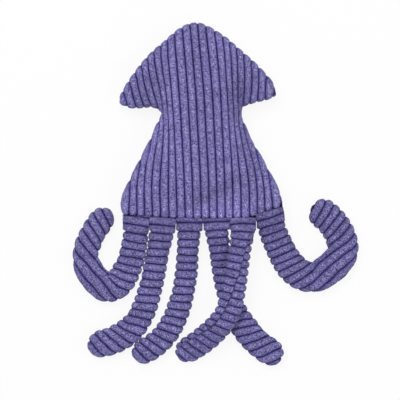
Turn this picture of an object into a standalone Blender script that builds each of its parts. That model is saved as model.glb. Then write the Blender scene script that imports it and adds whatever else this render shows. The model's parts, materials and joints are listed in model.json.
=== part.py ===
"""A corduroy plush squid: a flat stuffed mantle with fins, and six stuffed arms sewn into its bottom seam.

The squid lies on its back on a table. +Z is up, +Y runs from the arms to the pointed top, and the origin is
on the table, in the middle of the flat under the mantle's fullest place.
"""

import math

import bpy
import bmesh
import numpy as np
from mathutils import Matrix, Vector
from mathutils.geometry import delaunay_2d_cdt

MM = 0.001
UP = Vector((0, 0, 1))

# Mantle
MANTLE_LENGTH = 196 * MM
MANTLE_THICKNESS = 44 * MM
FIN_SPAN = 157 * MM
NECK_WIDTH = 82 * MM
BOTTOM_SHARE = 0.41
NECK_SHARE = 0.551
SWELL_POWER_SHARE = 0.6

# Arms
ARM_COUNT = 6
ARM_LENGTH = 160 * MM
ARM_WIDTH = 25 * MM
ARM_THICKNESS = 19 * MM
ARM_GAP = 1.6 * MM
ARM_SWING = math.radians(75)
LYING_SHARE = 0.34
SPREAD_THINNING_SHARE = 0.12
BUNCHING_SHARE = 0.75
CROSSING_GAP = 1.2 * MM

# Cloth, thread and stuffing
CLOTH = 1.4 * MM
THREAD = 0.7 * MM
CLEARANCE = 0.3 * MM
SEAM_GAP = THREAD + 2 * CLEARANCE
REST_CUT = 0.5 * MM
CLOSING_LENGTH = 48 * MM

# Lips of cloth on both sides of the bottom seam, which the arms swing about
LIP_REACH = 1.1 * MM
SWING_SPARE = math.radians(4)
WEDGE = (math.pi - ARM_SWING) / 2 - SWING_SPARE

# Meshing
CELL = 13 * MM
SHOULDER = 3.5 * MM
RIM_STEP = 11 * MM
RIM_TRIM = 0.1 * MM
MITRE_LIMIT_SHARE = 0.5
PANEL_SEGMENTS = 5
STUFFING_SEGMENTS = 6
STATION_SHARES = (0, 0.03, 0.065, 0.11, 0.2, 0.3, 0.4, 0.5, 0.6, 0.7, 0.8, 0.88, 0.94, 0.98)
EXTRA_SHARES = (0.25, 0.35, 0.45, 0.55, 0.65)
STUFFING_START = 3
CURVE_STEPS = 6
EASING_ROUNDS = 12
CUTTER_OVERRUN = 20 * MM

# Places that follow from the sizes above
SEAM_Z = MANTLE_THICKNESS / 2 - REST_CUT
BOTTOM_Y = -BOTTOM_SHARE * MANTLE_LENGTH
NECK_Y = BOTTOM_Y + NECK_SHARE * MANTLE_LENGTH
TOP_Y = BOTTOM_Y + MANTLE_LENGTH
ARM_PITCH = ARM_WIDTH + ARM_GAP
SKIRT_WIDTH = ARM_COUNT * ARM_PITCH

# The bottom seam's rise above BOTTOM_Y at the arms' corners, left to right: shares of the mantle's length
SEAM_RISE_SHARES = (0.0108, 0.0061, 0.0026, -0.001, 0.0002, 0.0038, 0.048)

# The skirt's sides from the neck down: how far out from neck to skirt, and how far down, as shares
RIGHT_SIDE_SHARES = (
    (-0.05, 0.01), (0.026, 0.139), (0.155, 0.269), (0.387, 0.398), (0.593, 0.537), (0.8, 0.667),
    (0.954, 0.796), (1.01, 0.87),
)
LEFT_SIDE_SHARES = (
    (0.052, 0.0), (0.129, 0.12), (0.232, 0.231), (0.412, 0.352), (0.593, 0.481), (0.773, 0.606),
    (0.928, 0.722), (1.06, 0.824), (1.07, 0.9),
)

# The fins and the pointed top, from the right notch over the top to the left notch: shares of half the
# fin span, and of the height from the neck to the top
FIN_SHARES = (
    (0.56, 0.052), (0.7, 0.08), (0.84, 0.103), (0.924, 0.138), (0.943, 0.207), (0.892, 0.31),
    (0.777, 0.425), (0.624, 0.563), (0.471, 0.678), (0.306, 0.81), (0.153, 0.902), (0.025, 0.966),
    (-0.102, 1.0), (-0.242, 0.96), (-0.369, 0.874), (-0.51, 0.759), (-0.675, 0.638), (-0.79, 0.517),
    (-0.879, 0.414), (-0.955, 0.31), (-1.032, 0.201), (-1.076, 0.121), (-1.057, 0.057),
    (-0.955, 0.006), (-0.803, 0.006), (-0.65, 0.023),
)

# Each arm's middle line from its root, left to right, in shares of the arms' length
ROUTE_SHARES = (
    ((-0.006, -0.129), (-0.018, -0.211), (-0.04, -0.289), (-0.072, -0.358), (-0.118, -0.413),
     (-0.178, -0.44), (-0.242, -0.428), (-0.292, -0.377), (-0.32, -0.305), (-0.326, -0.235),
     (-0.306, -0.161), (-0.261, -0.076), (-0.211, -0.006), (-0.183, 0.029)),
    ((-0.014, -0.117), (-0.036, -0.229), (-0.054, -0.311), (-0.071, -0.392), (-0.093, -0.473),
     (-0.122, -0.554), (-0.167, -0.634), (-0.221, -0.698), (-0.305, -0.758), (-0.39, -0.797),
     (-0.483, -0.822)),
    ((-0.006, -0.111), (-0.018, -0.223), (-0.022, -0.304), (-0.032, -0.386), (-0.049, -0.467),
     (-0.074, -0.548), (-0.107, -0.626), (-0.151, -0.698), (-0.207, -0.764), (-0.273, -0.817),
     (-0.353, -0.866)),
    ((0.004, -0.108), (0.019, -0.214), (0.036, -0.314), (0.056, -0.414), (0.084, -0.508),
     (0.126, -0.595), (0.186, -0.689), (0.248, -0.764), (0.314, -0.826), (0.401, -0.892)),
    ((0.0, -0.103), (-0.01, -0.203), (-0.024, -0.297), (-0.043, -0.391), (-0.063, -0.503),
     (-0.096, -0.603), (-0.159, -0.697), (-0.243, -0.775), (-0.318, -0.828), (-0.424, -0.871)),
    ((0.0125, -0.084), (0.034, -0.158), (0.061, -0.219), (0.094, -0.281), (0.134, -0.341),
     (0.197, -0.394), (0.284, -0.409), (0.378, -0.3625), (0.441, -0.301), (0.467, -0.222),
     (0.447, -0.144), (0.404, -0.074), (0.353, -0.021), (0.278, 0.035)),
)

# An arm's width along its length: share along, and share of the arms' width
LONG_WIDTH_SHARES = (
    (0, 1.0), (0.1, 0.98), (0.23, 0.87), (0.45, 0.87), (0.6, 0.94), (0.75, 1.0), (1, 1.06),
)
LEFT_HOOK_WIDTH_SHARES = (
    (0, 1.0), (0.12, 1.0), (0.25, 1.02), (0.38, 1.12), (0.5, 1.2), (0.62, 1.12), (0.72, 1.0), (1, 1.04),
)
RIGHT_HOOK_WIDTH_SHARES = (
    (0, 1.0), (0.2, 1.04), (0.38, 1.16), (0.5, 1.2), (0.66, 1.2), (0.8, 1.08), (1, 1.14),
)
WIDTH_SHARES = (LEFT_HOOK_WIDTH_SHARES,) + (LONG_WIDTH_SHARES,) * 4 + (RIGHT_HOOK_WIDTH_SHARES,)

# The fifth arm is laid over the fourth and twists as it goes: share along, and turn in degrees
OVER_ARM = 4
BENT_ARMS = (0, 4, 5)
TWIST_SHARES = ((0, 0), (0.14, 0), (0.27, 32), (0.4, 72), (0.52, 92), (0.64, 106), (0.78, 119), (1, 130))
OVER_RISE_SHARE = 0.42
OVER_FALL_SHARES = (0.6, 0.97)

FABRIC = (0.18, 0.15, 0.41)
THREAD_TINT = (0.13, 0.10, 0.32)
FIBRE = (0.86, 0.86, 0.84)


def make_material(name, colour, roughness):
    """A Principled material with one colour."""
    material = bpy.data.materials.new(name)
    material.use_nodes = True
    shader = material.node_tree.nodes["Principled BSDF"]
    shader.inputs["Base Color"].default_value = (*colour, 1)
    shader.inputs["Roughness"].default_value = roughness
    shader.inputs["Metallic"].default_value = 0
    material.diffuse_color = (*colour, 1)
    return material


def ease(share):
    """0 to 1 with no kink at either end."""
    share = min(max(share, 0), 1)
    return share * share * (3 - 2 * share)


def from_table(table, share):
    """The value that a table of (share along, value) gives, eased between its rows."""
    for (start, low), (end, high) in zip(table, table[1:]):
        if share <= end:
            return low + (high - low) * ease((share - start) / (end - start))
    return table[-1][1]


def seam_corners():
    """The bottom seam's corners, left to right: arm k is sewn between corner k and corner k + 1."""
    left = -SKIRT_WIDTH / 2
    return [
        Vector((left + k * ARM_PITCH, BOTTOM_Y + rise * MANTLE_LENGTH))
        for k, rise in enumerate(SEAM_RISE_SHARES)
    ]


def side_point(shares, hand):
    """A point on the skirt's side; hand is 1 on the right and -1 on the left."""
    out, down = shares
    half = NECK_WIDTH / 2 + out * (SKIRT_WIDTH - NECK_WIDTH) / 2
    return Vector((hand * half, NECK_Y + down * (BOTTOM_Y - NECK_Y)))


def line_length(line):
    """How long a line of points is."""
    return sum((b - a).length for a, b in zip(line, line[1:]))


def walk(line, start, end):
    """The stretch of a line of points between two distances along it."""
    stretch = []
    along = 0
    for a, b in zip(line, line[1:]):
        length = (b - a).length
        if along + length > start and along < end:
            if not stretch:
                stretch.append(a.lerp(b, max((start - along) / length, 0)))
            stretch.append(a.lerp(b, min((end - along) / length, 1)))
        along += length
    return stretch


def evenly(line, step):
    """Points about a step apart along a line of points, with its two ends."""
    length = line_length(line)
    count = round(length / step)
    return [line[0]] + [walk(line, 0, length * k / count)[-1] for k in range(1, count)] + [line[-1]]


def mantle_outline():
    """The mantle's rim, anticlockwise from its bottom left corner, LIP_REACH clear of the arms' axes."""
    bottom = []
    corners = seam_corners()
    lift = Vector((0, LIP_REACH))
    for a, b in zip(corners, corners[1:]):
        bottom += [a + lift, (a + b) / 2 + lift]
    right = [side_point(shares, 1) for shares in reversed(RIGHT_SIDE_SHARES)]
    top = [Vector((x * FIN_SPAN / 2, NECK_Y + y * (TOP_Y - NECK_Y))) for x, y in FIN_SHARES]
    left = [side_point(shares, -1) for shares in LEFT_SIDE_SHARES]
    sides = [corners[-1] + lift] + right + top + left + [corners[0] + lift]
    return bottom + evenly(sides, RIM_STEP)[:-1]


def inset(outline, distance):
    """The outline moved inwards by a distance, square to its run at each point."""
    moved = []
    for before, point, after in zip(outline[-1:] + outline[:-1], outline, outline[1:] + outline[:1]):
        first = (point - before).normalized()
        second = (after - point).normalized()
        inward = Vector((-first.y - second.y, first.x + second.x)).normalized()
        mitre = max(inward.dot(Vector((-first.y, first.x))), MITRE_LIMIT_SHARE)
        moved.append(point + inward * distance / mitre)
    return moved


def distance_to(point, line, closed=True):
    """How far a point is from a line of points."""
    ends = line[1:] + line[:1] if closed else line[1:]
    nearest = math.inf
    for a, b in zip(line, ends):
        share = min(max((point - a).dot(b - a) / (b - a).length_squared, 0), 1)
        nearest = min(nearest, (point - a.lerp(b, share)).length)
    return nearest


def inside(point, outline):
    """Whether a point lies inside a closed outline."""
    crossings = 0
    for a, b in zip(outline, outline[1:] + outline[:1]):
        if (a.y > point.y) != (b.y > point.y):
            crossings += point.x < a.x + (point.y - a.y) * (b.x - a.x) / (b.y - a.y)
    return crossings % 2 == 1


def tiled(outline):
    """Points and triangles that fill an outline: its points, a ring inside it, then a hexagonal grid."""
    count = len(outline)
    points = outline + inset(outline, SHOULDER)
    ring = points[count:]
    row_height = CELL * math.sqrt(3) / 2
    low = Vector((min(p.x for p in outline), min(p.y for p in outline)))
    high = Vector((max(p.x for p in outline), max(p.y for p in outline)))
    for row in range(math.ceil((high.y - low.y) / row_height)):
        for column in range(math.ceil((high.x - low.x) / CELL) + 1):
            spot = low + Vector(((column + row % 2 / 2) * CELL, row * row_height))
            if inside(spot, ring) and distance_to(spot, ring) > CELL / 2:
                points.append(spot)
    ring_edges = [(count + k, count + (k + 1) % count) for k in range(count)]
    made = delaunay_2d_cdt(points, ring_edges, [list(range(count))], 1, 0)
    return made[0], made[2], count


def swollen(points, faces, rim_count):
    """How far each point swells, from 0 to 1: a membrane held at its rim, with air pushing under it."""
    count = len(points)
    pull = np.zeros((count, count))
    for face in faces:
        for a, b in zip(face, face[1:] + face[:1]):
            pull[a, b] = pull[b, a] = (CELL / (points[a] - points[b]).length) ** 2
    free = np.arange(count) >= rim_count
    system = (np.diag(pull.sum(axis=1)) - pull)[np.ix_(free, free)]
    height = np.zeros(count)
    height[free] = np.linalg.solve(system, np.ones(free.sum()))
    return (height / height.max()) ** SWELL_POWER_SHARE


def mantle_surface():
    """The mantle's front skin over its seam: points in plan, faces, rim count and each point's height."""
    points, faces, rim_count = tiled(mantle_outline())
    seam_line = seam_corners()
    heights = []
    for point, share in zip(points, swollen(points, faces, rim_count)):
        full = share * (MANTLE_THICKNESS - SEAM_GAP) / 2
        wedge = distance_to(point, seam_line, closed=False) * math.tan(WEDGE) - SEAM_GAP / 2
        heights.append(full * (1 - math.exp(-wedge / full)) if full > 0 else 0)
    tallest = max(heights)
    return points, faces, rim_count, [h * (MANTLE_THICKNESS - SEAM_GAP) / 2 / tallest for h in heights]


def mesh_object(name, points, faces, material, collection):
    """A mesh object from points and faces, smooth and facing outwards."""
    mesh = bpy.data.meshes.new(name)
    mesh.from_pydata([tuple(p) for p in points], [], faces)
    made = bpy.data.objects.new(name, mesh)
    collection.objects.link(made)
    work = bmesh.new()
    work.from_mesh(mesh)
    bmesh.ops.recalc_face_normals(work, faces=work.faces)
    work.to_mesh(mesh)
    work.free()
    mesh.shade_smooth()
    mesh.materials.append(material)
    return made


def box_cutter(name, low, high, collection):
    """A box between two corners that cuts other pieces and isn't a part itself."""
    bpy.ops.mesh.primitive_cube_add(size=1, location=(Vector(low) + Vector(high)) / 2)
    box = bpy.context.object
    box.name = name
    box.scale = Vector(high) - Vector(low)
    bpy.ops.object.transform_apply(location=False, rotation=False, scale=True)
    for other in box.users_collection:
        other.objects.unlink(box)
    collection.objects.link(box)
    box.hide_render = True
    box.display_type = "WIRE"
    return box


def cut(piece, cutter):
    """Takes the cutter's space out of a piece."""
    modifier = piece.modifiers.new("cut_by_" + cutter.name, "BOOLEAN")
    modifier.operation = "DIFFERENCE"
    modifier.object = cutter


def mantle_panel(name, hand, material, collection, cutters):
    """One of the mantle's two cloth panels: the front one swells up (hand 1), the back one down (-1)."""
    points, faces, rim_count, heights = mantle_surface()
    placed = []
    for number, (point, height) in enumerate(zip(points, heights)):
        rise = SEAM_GAP / 2 + (height if number >= rim_count else -RIM_TRIM)
        placed.append(Vector((point.x, point.y, SEAM_Z + hand * rise)))
    panel = mesh_object(name, placed, faces, material, collection)
    if (panel.data.polygons[0].normal.z > 0) != (hand > 0):
        panel.data.flip_normals()
    wall = panel.modifiers.new("cloth", "SOLIDIFY")
    wall.thickness = CLOTH
    wall.offset = -1
    cut(panel, cutters["below_seam" if hand > 0 else "above_seam"])
    if hand < 0:
        cut(panel, cutters["table"])
    return panel


def mantle_stuffing(material, collection):
    """The mantle's fibre filling, clear of both panels: their skin moved inwards, closed at the ring."""
    points, faces, rim_count, heights = mantle_surface()
    raised = [(p.x, p.y, h) for p, h in zip(points, heights)]
    skin = mesh_object("skin", raised, faces, material, collection)
    normals = [vertex.normal.copy() for vertex in skin.data.vertices]
    bpy.data.objects.remove(skin)
    margin = CLOTH + 2 * CLEARANCE
    closed_at = 2 * rim_count
    front = []
    for number, (point, height, normal) in enumerate(zip(points, heights, normals)):
        inner = Vector((point.x, point.y, height)) - normal * math.copysign(margin, normal.z)
        if number < closed_at:
            inner = Vector((point.x, point.y, 0))
        front.append(inner)
    front = front[rim_count:]
    back = [Vector((p.x, p.y, -p.z)) for p in front[rim_count:]]
    shift = len(back)
    kept = [[v - rim_count for v in face] for face in faces if min(face) >= rim_count]
    below = [[v if v < rim_count else v + shift for v in reversed(face)] for face in kept]
    stuffing = mesh_object("mantle_stuffing", front + back, kept + below, material, collection)
    stuffing.location.z = SEAM_Z
    return stuffing


def thread_object(name, points, material, collection, closed=False):
    """A sewing thread through a line of points."""
    curve = bpy.data.curves.new(name, "CURVE")
    curve.dimensions = "3D"
    curve.bevel_depth = THREAD / 2
    curve.bevel_resolution = 1
    curve.use_fill_caps = True
    spline = curve.splines.new("POLY")
    spline.points.add(len(points) - 1)
    for spot, point in zip(spline.points, points):
        spot.co = (*point, 1)
    spline.use_cyclic_u = closed
    curve.materials.append(material)
    thread = bpy.data.objects.new(name, curve)
    collection.objects.link(thread)
    return thread


def mantle_threads(material, collection):
    """The machine seam, which also catches the arms' roots, and the hand-sewn closing in its gap."""
    outline = inset(mantle_outline(), CLOTH / 2)
    sides = outline[2 * ARM_COUNT:] + outline[:1]
    length = line_length(sides)
    turn = LIP_REACH + THREAD
    pause = THREAD + CLEARANCE
    closing_end = length - CLOSING_LENGTH / 2
    closing_start = closing_end - CLOSING_LENGTH
    seam = walk(sides, closing_end + pause, length - turn)
    seam += seam_corners()
    seam += walk(sides, turn, closing_start - pause)
    closing = walk(sides, closing_start, closing_end)
    for name, line in (("mantle_seam_thread", seam), ("closing_thread", closing)):
        thread_object(name, [Vector((p.x, p.y, SEAM_Z)) for p in line], material, collection)


class Arm:
    """One arm's middle line and sections, in the world, by distance along it from its hinge line."""

    def __init__(self, number):
        self.number = number
        first, second = seam_corners()[number:number + 2]
        self.root = (first + second) / 2
        self.turn = math.atan2(second.y - first.y, second.x - first.x)
        start = Vector((math.sin(self.turn), -math.cos(self.turn)))
        route = [self.root] + [self.root + Vector(spot) * ARM_LENGTH for spot in ROUTE_SHARES[number]]
        self.line = self.smooth([route[1] - start * 2 * (route[1] - route[0]).length] + route)
        steps = [(b - a).length for a, b in zip(self.line, self.line[1:])]
        self.stops = [0] + list(np.cumsum(steps))
        self.length = self.stops[-1]

    @staticmethod
    def smooth(points):
        """A curve along the points; the first only sets its start. Turns past the root are eased."""
        points = points + [points[-1] * 2 - points[-2]]
        made = [points[1]]
        for a, b, c, d in zip(points, points[1:], points[2:], points[3:]):
            for step in range(1, CURVE_STEPS + 1):
                t = step / CURVE_STEPS
                square = a * 2 - b * 5 + c * 4 - d
                cube = b * 3 - a - c * 3 + d
                made.append((b * 2 + (c - a) * t + square * t ** 2 + cube * t ** 3) / 2)
        for _ in range(EASING_ROUNDS):
            inner = [(a + b * 2 + c) / 4 for a, b, c in zip(made, made[1:], made[2:])]
            made[CURVE_STEPS:-1] = inner[CURVE_STEPS - 1:]
        return made

    def spot(self, along):
        """The middle line's place in plan, and its direction there."""
        along = min(max(along, 0), self.length)
        k = min(int(np.searchsorted(self.stops, along, side="right")) - 1, len(self.line) - 2)
        a, b = self.line[k], self.line[k + 1]
        share = (along - self.stops[k]) / (b - a).length
        before = self.line[max(k - 1, 0)]
        after = self.line[min(k + 2, len(self.line) - 1)]
        run = (b - before).normalized().lerp((after - a).normalized(), share)
        return a.lerp(b, share), run.normalized()

    def stations(self, end):
        """Distances of the sections along the arm, closer together where it bends or twists."""
        shares = STATION_SHARES
        if self.number in BENT_ARMS:
            shares = sorted(STATION_SHARES + EXTRA_SHARES)
        return [LIP_REACH + share * (end - LIP_REACH) for share in shares]

    def half_width(self, along, taken=0):
        """Half the section's width, less what is taken off all round, before the tip rounds it."""
        return from_table(WIDTH_SHARES[self.number], along / self.length) * ARM_WIDTH / 2 - taken

    def half_thickness(self, along, taken=0):
        """Half the section's thickness: it grows from the flat seam, and less where the arm spreads."""
        spread = from_table(WIDTH_SHARES[self.number], along / self.length)
        full = ARM_THICKNESS / 2 * (1 - SPREAD_THINNING_SHARE * (spread - 1))
        wedge = along * math.tan(WEDGE) - SEAM_GAP / 2
        blunt = full * (1 - math.exp(-wedge / full))
        return max(blunt - taken, 0)

    def inner_limit(self, along, side, taken):
        """The widest the section may be on one side (1 or -1): cloth bunches inside a bend."""
        reach = ARM_WIDTH / 4
        before = self.spot(along - reach)[1]
        after = self.spot(along + reach)[1]
        bend = (before.x * after.y - before.y * after.x) * side
        return 2 * reach / bend * BUNCHING_SHARE - taken if bend > 0 else math.inf

    def rounding(self, along, end):
        """The tip's round end, as a share of the section."""
        cap = ARM_WIDTH / 2
        past = (along - (end - cap)) / cap
        return 1 if past <= 0 else math.sqrt(max(1 - past * past, 0))

    def height(self, along):
        """The middle line's height over the table."""
        lying = self.half_thickness(self.length) - REST_CUT
        share = along / self.length
        if self.number != OVER_ARM:
            return SEAM_Z + (lying - SEAM_Z) * ease(share / LYING_SHARE)
        over = lying + ARM_THICKNESS + CROSSING_GAP
        if share < OVER_FALL_SHARES[0]:
            return SEAM_Z + (over - SEAM_Z) * ease(share / OVER_RISE_SHARE)
        low, high = OVER_FALL_SHARES
        return over + (lying - over) * ease((share - low) / (high - low))

    def twist(self, along):
        """How far the arm's side seams have turned about it."""
        if self.number != OVER_ARM:
            return 0
        return math.radians(from_table(TWIST_SHARES, along / self.length))

    def frame(self, along):
        """The section's middle, its direction to the right and its direction up."""
        spot, run = self.spot(along)
        step = SHOULDER / 2
        slope = (self.height(along + step) - self.height(max(along - step, 0))) / (
            min(along + step, self.length + step) - max(along - step, 0)
        )
        right = Vector((-run.y, run.x, 0))
        forward = Vector((run.x, run.y, slope)).normalized()
        up = forward.cross(right)
        return Vector((spot.x, spot.y, self.height(along))), right, up

    def section_point(self, along, angle, taken, shift, end):
        """A point of the skin, at an angle from the right seam over the front, shifted off the seam."""
        middle, right, up = self.frame(along)
        turn = self.twist(along)
        around = angle + turn
        side = math.copysign(1, math.cos(around))
        shrink = self.rounding(along, end)
        wide = min(self.half_width(along, taken), self.inner_limit(along, side, taken)) * shrink
        tall = self.half_thickness(along, taken) * shrink
        front = up * math.cos(turn) - right * math.sin(turn)
        return middle + right * wide * math.cos(around) + up * tall * math.sin(around) + front * shift

    def into_hinge_frame(self, point):
        """A world point in the frame of the arm's hinge."""
        return Matrix.Rotation(-self.turn, 3, "Z") @ (point - Vector((self.root.x, self.root.y, SEAM_Z)))


def arm_hinge(arm, collection):
    """An empty on the seam that the arm swings about: its X axis runs along the seam."""
    hinge = bpy.data.objects.new(f"arm_{arm.number + 1}_hinge", None)
    hinge.location = (arm.root.x, arm.root.y, SEAM_Z)
    hinge.rotation_euler = (0, 0, arm.turn)
    hinge.empty_display_size = ARM_WIDTH / 2
    collection.objects.link(hinge)
    return hinge


def arm_panel(arm, hand, hinge, material, collection, cutters):
    """One of an arm's two cloth strips, front (hand 1) or back (hand -1), as a shell open at the root."""
    columns = PANEL_SEGMENTS + 1
    angles = [hand * math.pi * k / PANEL_SEGMENTS for k in range(columns)]
    shift = hand * SEAM_GAP / 2
    skins = []
    for taken in (0, CLOTH):
        end = arm.length - taken
        rows = []
        for along in arm.stations(end):
            rows.append([arm.section_point(along, angle, taken, shift, end) for angle in angles])
        skins.append((rows, arm.section_point(end, 0, taken, shift, end)))
    points = []
    for rows, pole in skins:
        for row in rows:
            points += row
        points.append(pole)
    rows = len(skins[0][0])
    size = rows * columns + 1
    faces = []
    for row in range(rows - 1):
        for k in range(columns - 1):
            a = row * columns + k
            quad = (a, a + 1, a + 1 + columns, a + columns)
            faces.append(quad)
            faces.append(tuple(v + size for v in reversed(quad)))
    last = (rows - 1) * columns
    for k in range(columns - 1):
        faces.append((last + k, last + k + 1, size - 1))
        faces.append((last + k + 1 + size, last + k + size, 2 * size - 1))
        faces.append((k + 1, k, k + size, k + 1 + size))
    for k, order in ((0, 1), (columns - 1, -1)):
        edge = [row * columns + k for row in range(rows)] + [size - 1]
        for a, b in zip(edge, edge[1:]):
            faces.append((a, b, b + size, a + size)[::order])
    name = f"arm_{arm.number + 1}_{'front' if hand > 0 else 'back'}_panel"
    local = [arm.into_hinge_frame(p) for p in points]
    panel = mesh_object(name, local, faces, material, collection)
    panel.parent = hinge
    if hand < 0 or arm.number == OVER_ARM:
        cut(panel, cutters["table"])
    return panel


def arm_stuffing(arm, hinge, material, collection):
    """An arm's fibre filling, from past the flat root to just inside the tip."""
    taken = CLOTH + 3 * CLEARANCE
    end = arm.length - taken
    inner = arm.stations(arm.length - CLOTH)[STUFFING_START:]
    points = []
    for along in inner:
        for k in range(STUFFING_SEGMENTS):
            angle = 2 * math.pi * k / STUFFING_SEGMENTS
            points.append(arm.section_point(along, angle, taken, 0, end))
    start_pole = arm.frame(inner[0] - ARM_THICKNESS / 4)[0]
    end_pole = arm.frame(end)[0]
    faces = []
    for row in range(len(inner) - 1):
        for k in range(STUFFING_SEGMENTS):
            a = row * STUFFING_SEGMENTS + k
            b = row * STUFFING_SEGMENTS + (k + 1) % STUFFING_SEGMENTS
            faces.append((a, b, b + STUFFING_SEGMENTS, a + STUFFING_SEGMENTS))
    last = (len(inner) - 1) * STUFFING_SEGMENTS
    for k in range(STUFFING_SEGMENTS):
        after = (k + 1) % STUFFING_SEGMENTS
        faces.append((after, k, len(points)))
        faces.append((last + k, last + after, len(points) + 1))
    points += [start_pole, end_pole]
    local = [arm.into_hinge_frame(p) for p in points]
    stuffing = mesh_object(f"arm_{arm.number + 1}_stuffing", local, faces, material, collection)
    stuffing.parent = hinge
    return stuffing


def arm_thread(arm, hinge, material, collection):
    """The thread of an arm's own seam: down its left side, round the tip and back up its right side."""
    end = arm.length - CLOTH / 2
    stops = arm.stations(arm.length - CLOTH)[1:]
    left = [arm.section_point(along, math.pi, CLOTH / 2, 0, end) for along in stops]
    right = [arm.section_point(along, 0, CLOTH / 2, 0, end) for along in stops]
    tip = arm.section_point(end, 0, CLOTH / 2, 0, end)
    local = [arm.into_hinge_frame(p) for p in left + [tip] + right[::-1]]
    thread = thread_object(f"arm_{arm.number + 1}_seam_thread", local, material, collection)
    thread.parent = hinge
    return thread


def main():
    for old in list(bpy.data.objects):
        bpy.data.objects.remove(old)
    squid = bpy.data.collections.new("plush_squid")
    helpers = bpy.data.collections.new("cutters")
    bpy.context.scene.collection.children.link(squid)
    bpy.context.scene.collection.children.link(helpers)

    cloth = make_material("corduroy", FABRIC, 0.95)
    thread = make_material("sewing_thread", THREAD_TINT, 0.7)
    fibre = make_material("polyester_fibre", FIBRE, 0.9)

    reach = MANTLE_LENGTH + ARM_LENGTH + CUTTER_OVERRUN
    deep = MANTLE_THICKNESS + CUTTER_OVERRUN
    front_rim = SEAM_Z + SEAM_GAP / 2
    back_rim = SEAM_Z - SEAM_GAP / 2
    spans = {
        "table": (-deep, 0),
        "below_seam": (front_rim - deep, front_rim),
        "above_seam": (back_rim, back_rim + deep),
    }
    cutters = {
        name: box_cutter(name, (-reach, -reach, low), (reach, reach, high), helpers)
        for name, (low, high) in spans.items()
    }

    mantle_panel("mantle_front_panel", 1, cloth, squid, cutters)
    mantle_panel("mantle_back_panel", -1, cloth, squid, cutters)
    mantle_stuffing(fibre, squid)
    mantle_threads(thread, squid)
    for number in range(ARM_COUNT):
        arm = Arm(number)
        hinge = arm_hinge(arm, squid)
        arm_panel(arm, 1, hinge, cloth, squid, cutters)
        arm_panel(arm, -1, hinge, cloth, squid, cutters)
        arm_stuffing(arm, hinge, fibre, squid)
        arm_thread(arm, hinge, thread, squid)


main()
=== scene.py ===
"""The looks of a stuffed corduroy squid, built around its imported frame.

The mantle and the six arms are stuffed forms that swell by cloth simulation. Two panels of corduroy are
laid over each, and their ribs are real geometry: every point of the cloth knows how far it is from a groove.
Lengths are in metres, and plan means the squid as seen from above, along X and Y.
"""

import json
import logging
import math
from dataclasses import dataclass
from enum import Enum, IntEnum
from itertools import product

import bmesh
import bpy
import numpy as np
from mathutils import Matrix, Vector
from mathutils.bvhtree import BVHTree
from mathutils.geometry import delaunay_2d_cdt


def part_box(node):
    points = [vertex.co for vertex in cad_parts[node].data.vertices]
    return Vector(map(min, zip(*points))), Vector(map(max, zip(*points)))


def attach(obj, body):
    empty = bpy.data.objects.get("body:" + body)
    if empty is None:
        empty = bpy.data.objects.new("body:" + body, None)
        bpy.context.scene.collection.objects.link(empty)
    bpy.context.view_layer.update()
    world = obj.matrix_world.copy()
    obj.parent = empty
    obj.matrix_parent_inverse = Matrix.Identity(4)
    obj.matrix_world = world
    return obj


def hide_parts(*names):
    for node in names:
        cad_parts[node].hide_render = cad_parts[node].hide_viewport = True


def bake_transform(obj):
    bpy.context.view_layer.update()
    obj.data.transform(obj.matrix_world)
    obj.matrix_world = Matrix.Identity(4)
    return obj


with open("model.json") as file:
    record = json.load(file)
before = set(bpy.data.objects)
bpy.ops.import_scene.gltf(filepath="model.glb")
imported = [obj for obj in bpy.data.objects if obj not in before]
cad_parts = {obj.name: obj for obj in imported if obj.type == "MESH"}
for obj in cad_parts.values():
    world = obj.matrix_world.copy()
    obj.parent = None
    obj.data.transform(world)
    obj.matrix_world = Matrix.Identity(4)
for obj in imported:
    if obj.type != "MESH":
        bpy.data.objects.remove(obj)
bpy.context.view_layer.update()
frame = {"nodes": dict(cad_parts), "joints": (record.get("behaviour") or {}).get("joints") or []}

MM = 0.001
SEAM_Z = frame["joints"][0]["pos_m"][2]
TINY = 1e-7
log = logging.getLogger("squid")


class Side(Enum):
    """Which of a stuffed piece's two panels, and the sign of its Z as seen from the seam."""

    FRONT = 1
    BACK = -1

    @property
    def label(self) -> str:
        """The side's name in the names of pieces and nodes."""
        return self.name.lower()


class Seed(IntEnum):
    """The pattern that each noise draws; an arm's number is added to its own two."""

    TUFTS = 3
    MANTLE_NAP = 5
    MANTLE_RIBS = 11
    ARM_RIBS = 17
    ARM_NAP = 23


def linear(hex_colour: str) -> tuple:
    """Turns an sRGB hex colour into linear red, green, blue and alpha, by the standard's own curve.

    Args:
        hex_colour: six hex digits.

    Returns:
        Four numbers from 0 to 1.
    """
    shares = [int(hex_colour[k:k + 2], 16) / 255 for k in (0, 2, 4)]
    return tuple(c / 12.92 if c <= 0.04045 else ((c + 0.055) / 1.055) ** 2.4 for c in shares) + (1,)


def set_inputs(node: bpy.types.Node, inputs: dict) -> None:
    """Sets and links a node's inputs.

    Args:
        node: the node.
        inputs: for a socket's name or number, a value or the socket that feeds it.
    """
    for name, value in inputs.items():
        if isinstance(value, bpy.types.NodeSocket):
            node.id_data.links.new(value, node.inputs[name])
        else:
            node.inputs[name].default_value = value


def add_node(tree: bpy.types.NodeTree, kind: str, inputs: dict | None = None, **settings) -> bpy.types.Node:
    """Adds a shader node.

    Args:
        tree: the material's node tree.
        kind: the node's type, without its ShaderNode prefix.
        inputs: what set_inputs takes.
        settings: the node's own properties.

    Returns:
        The node.
    """
    node = tree.nodes.new("ShaderNode" + kind)
    for name, value in settings.items():
        setattr(node, name, value)
    set_inputs(node, inputs or {})
    return node


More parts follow.
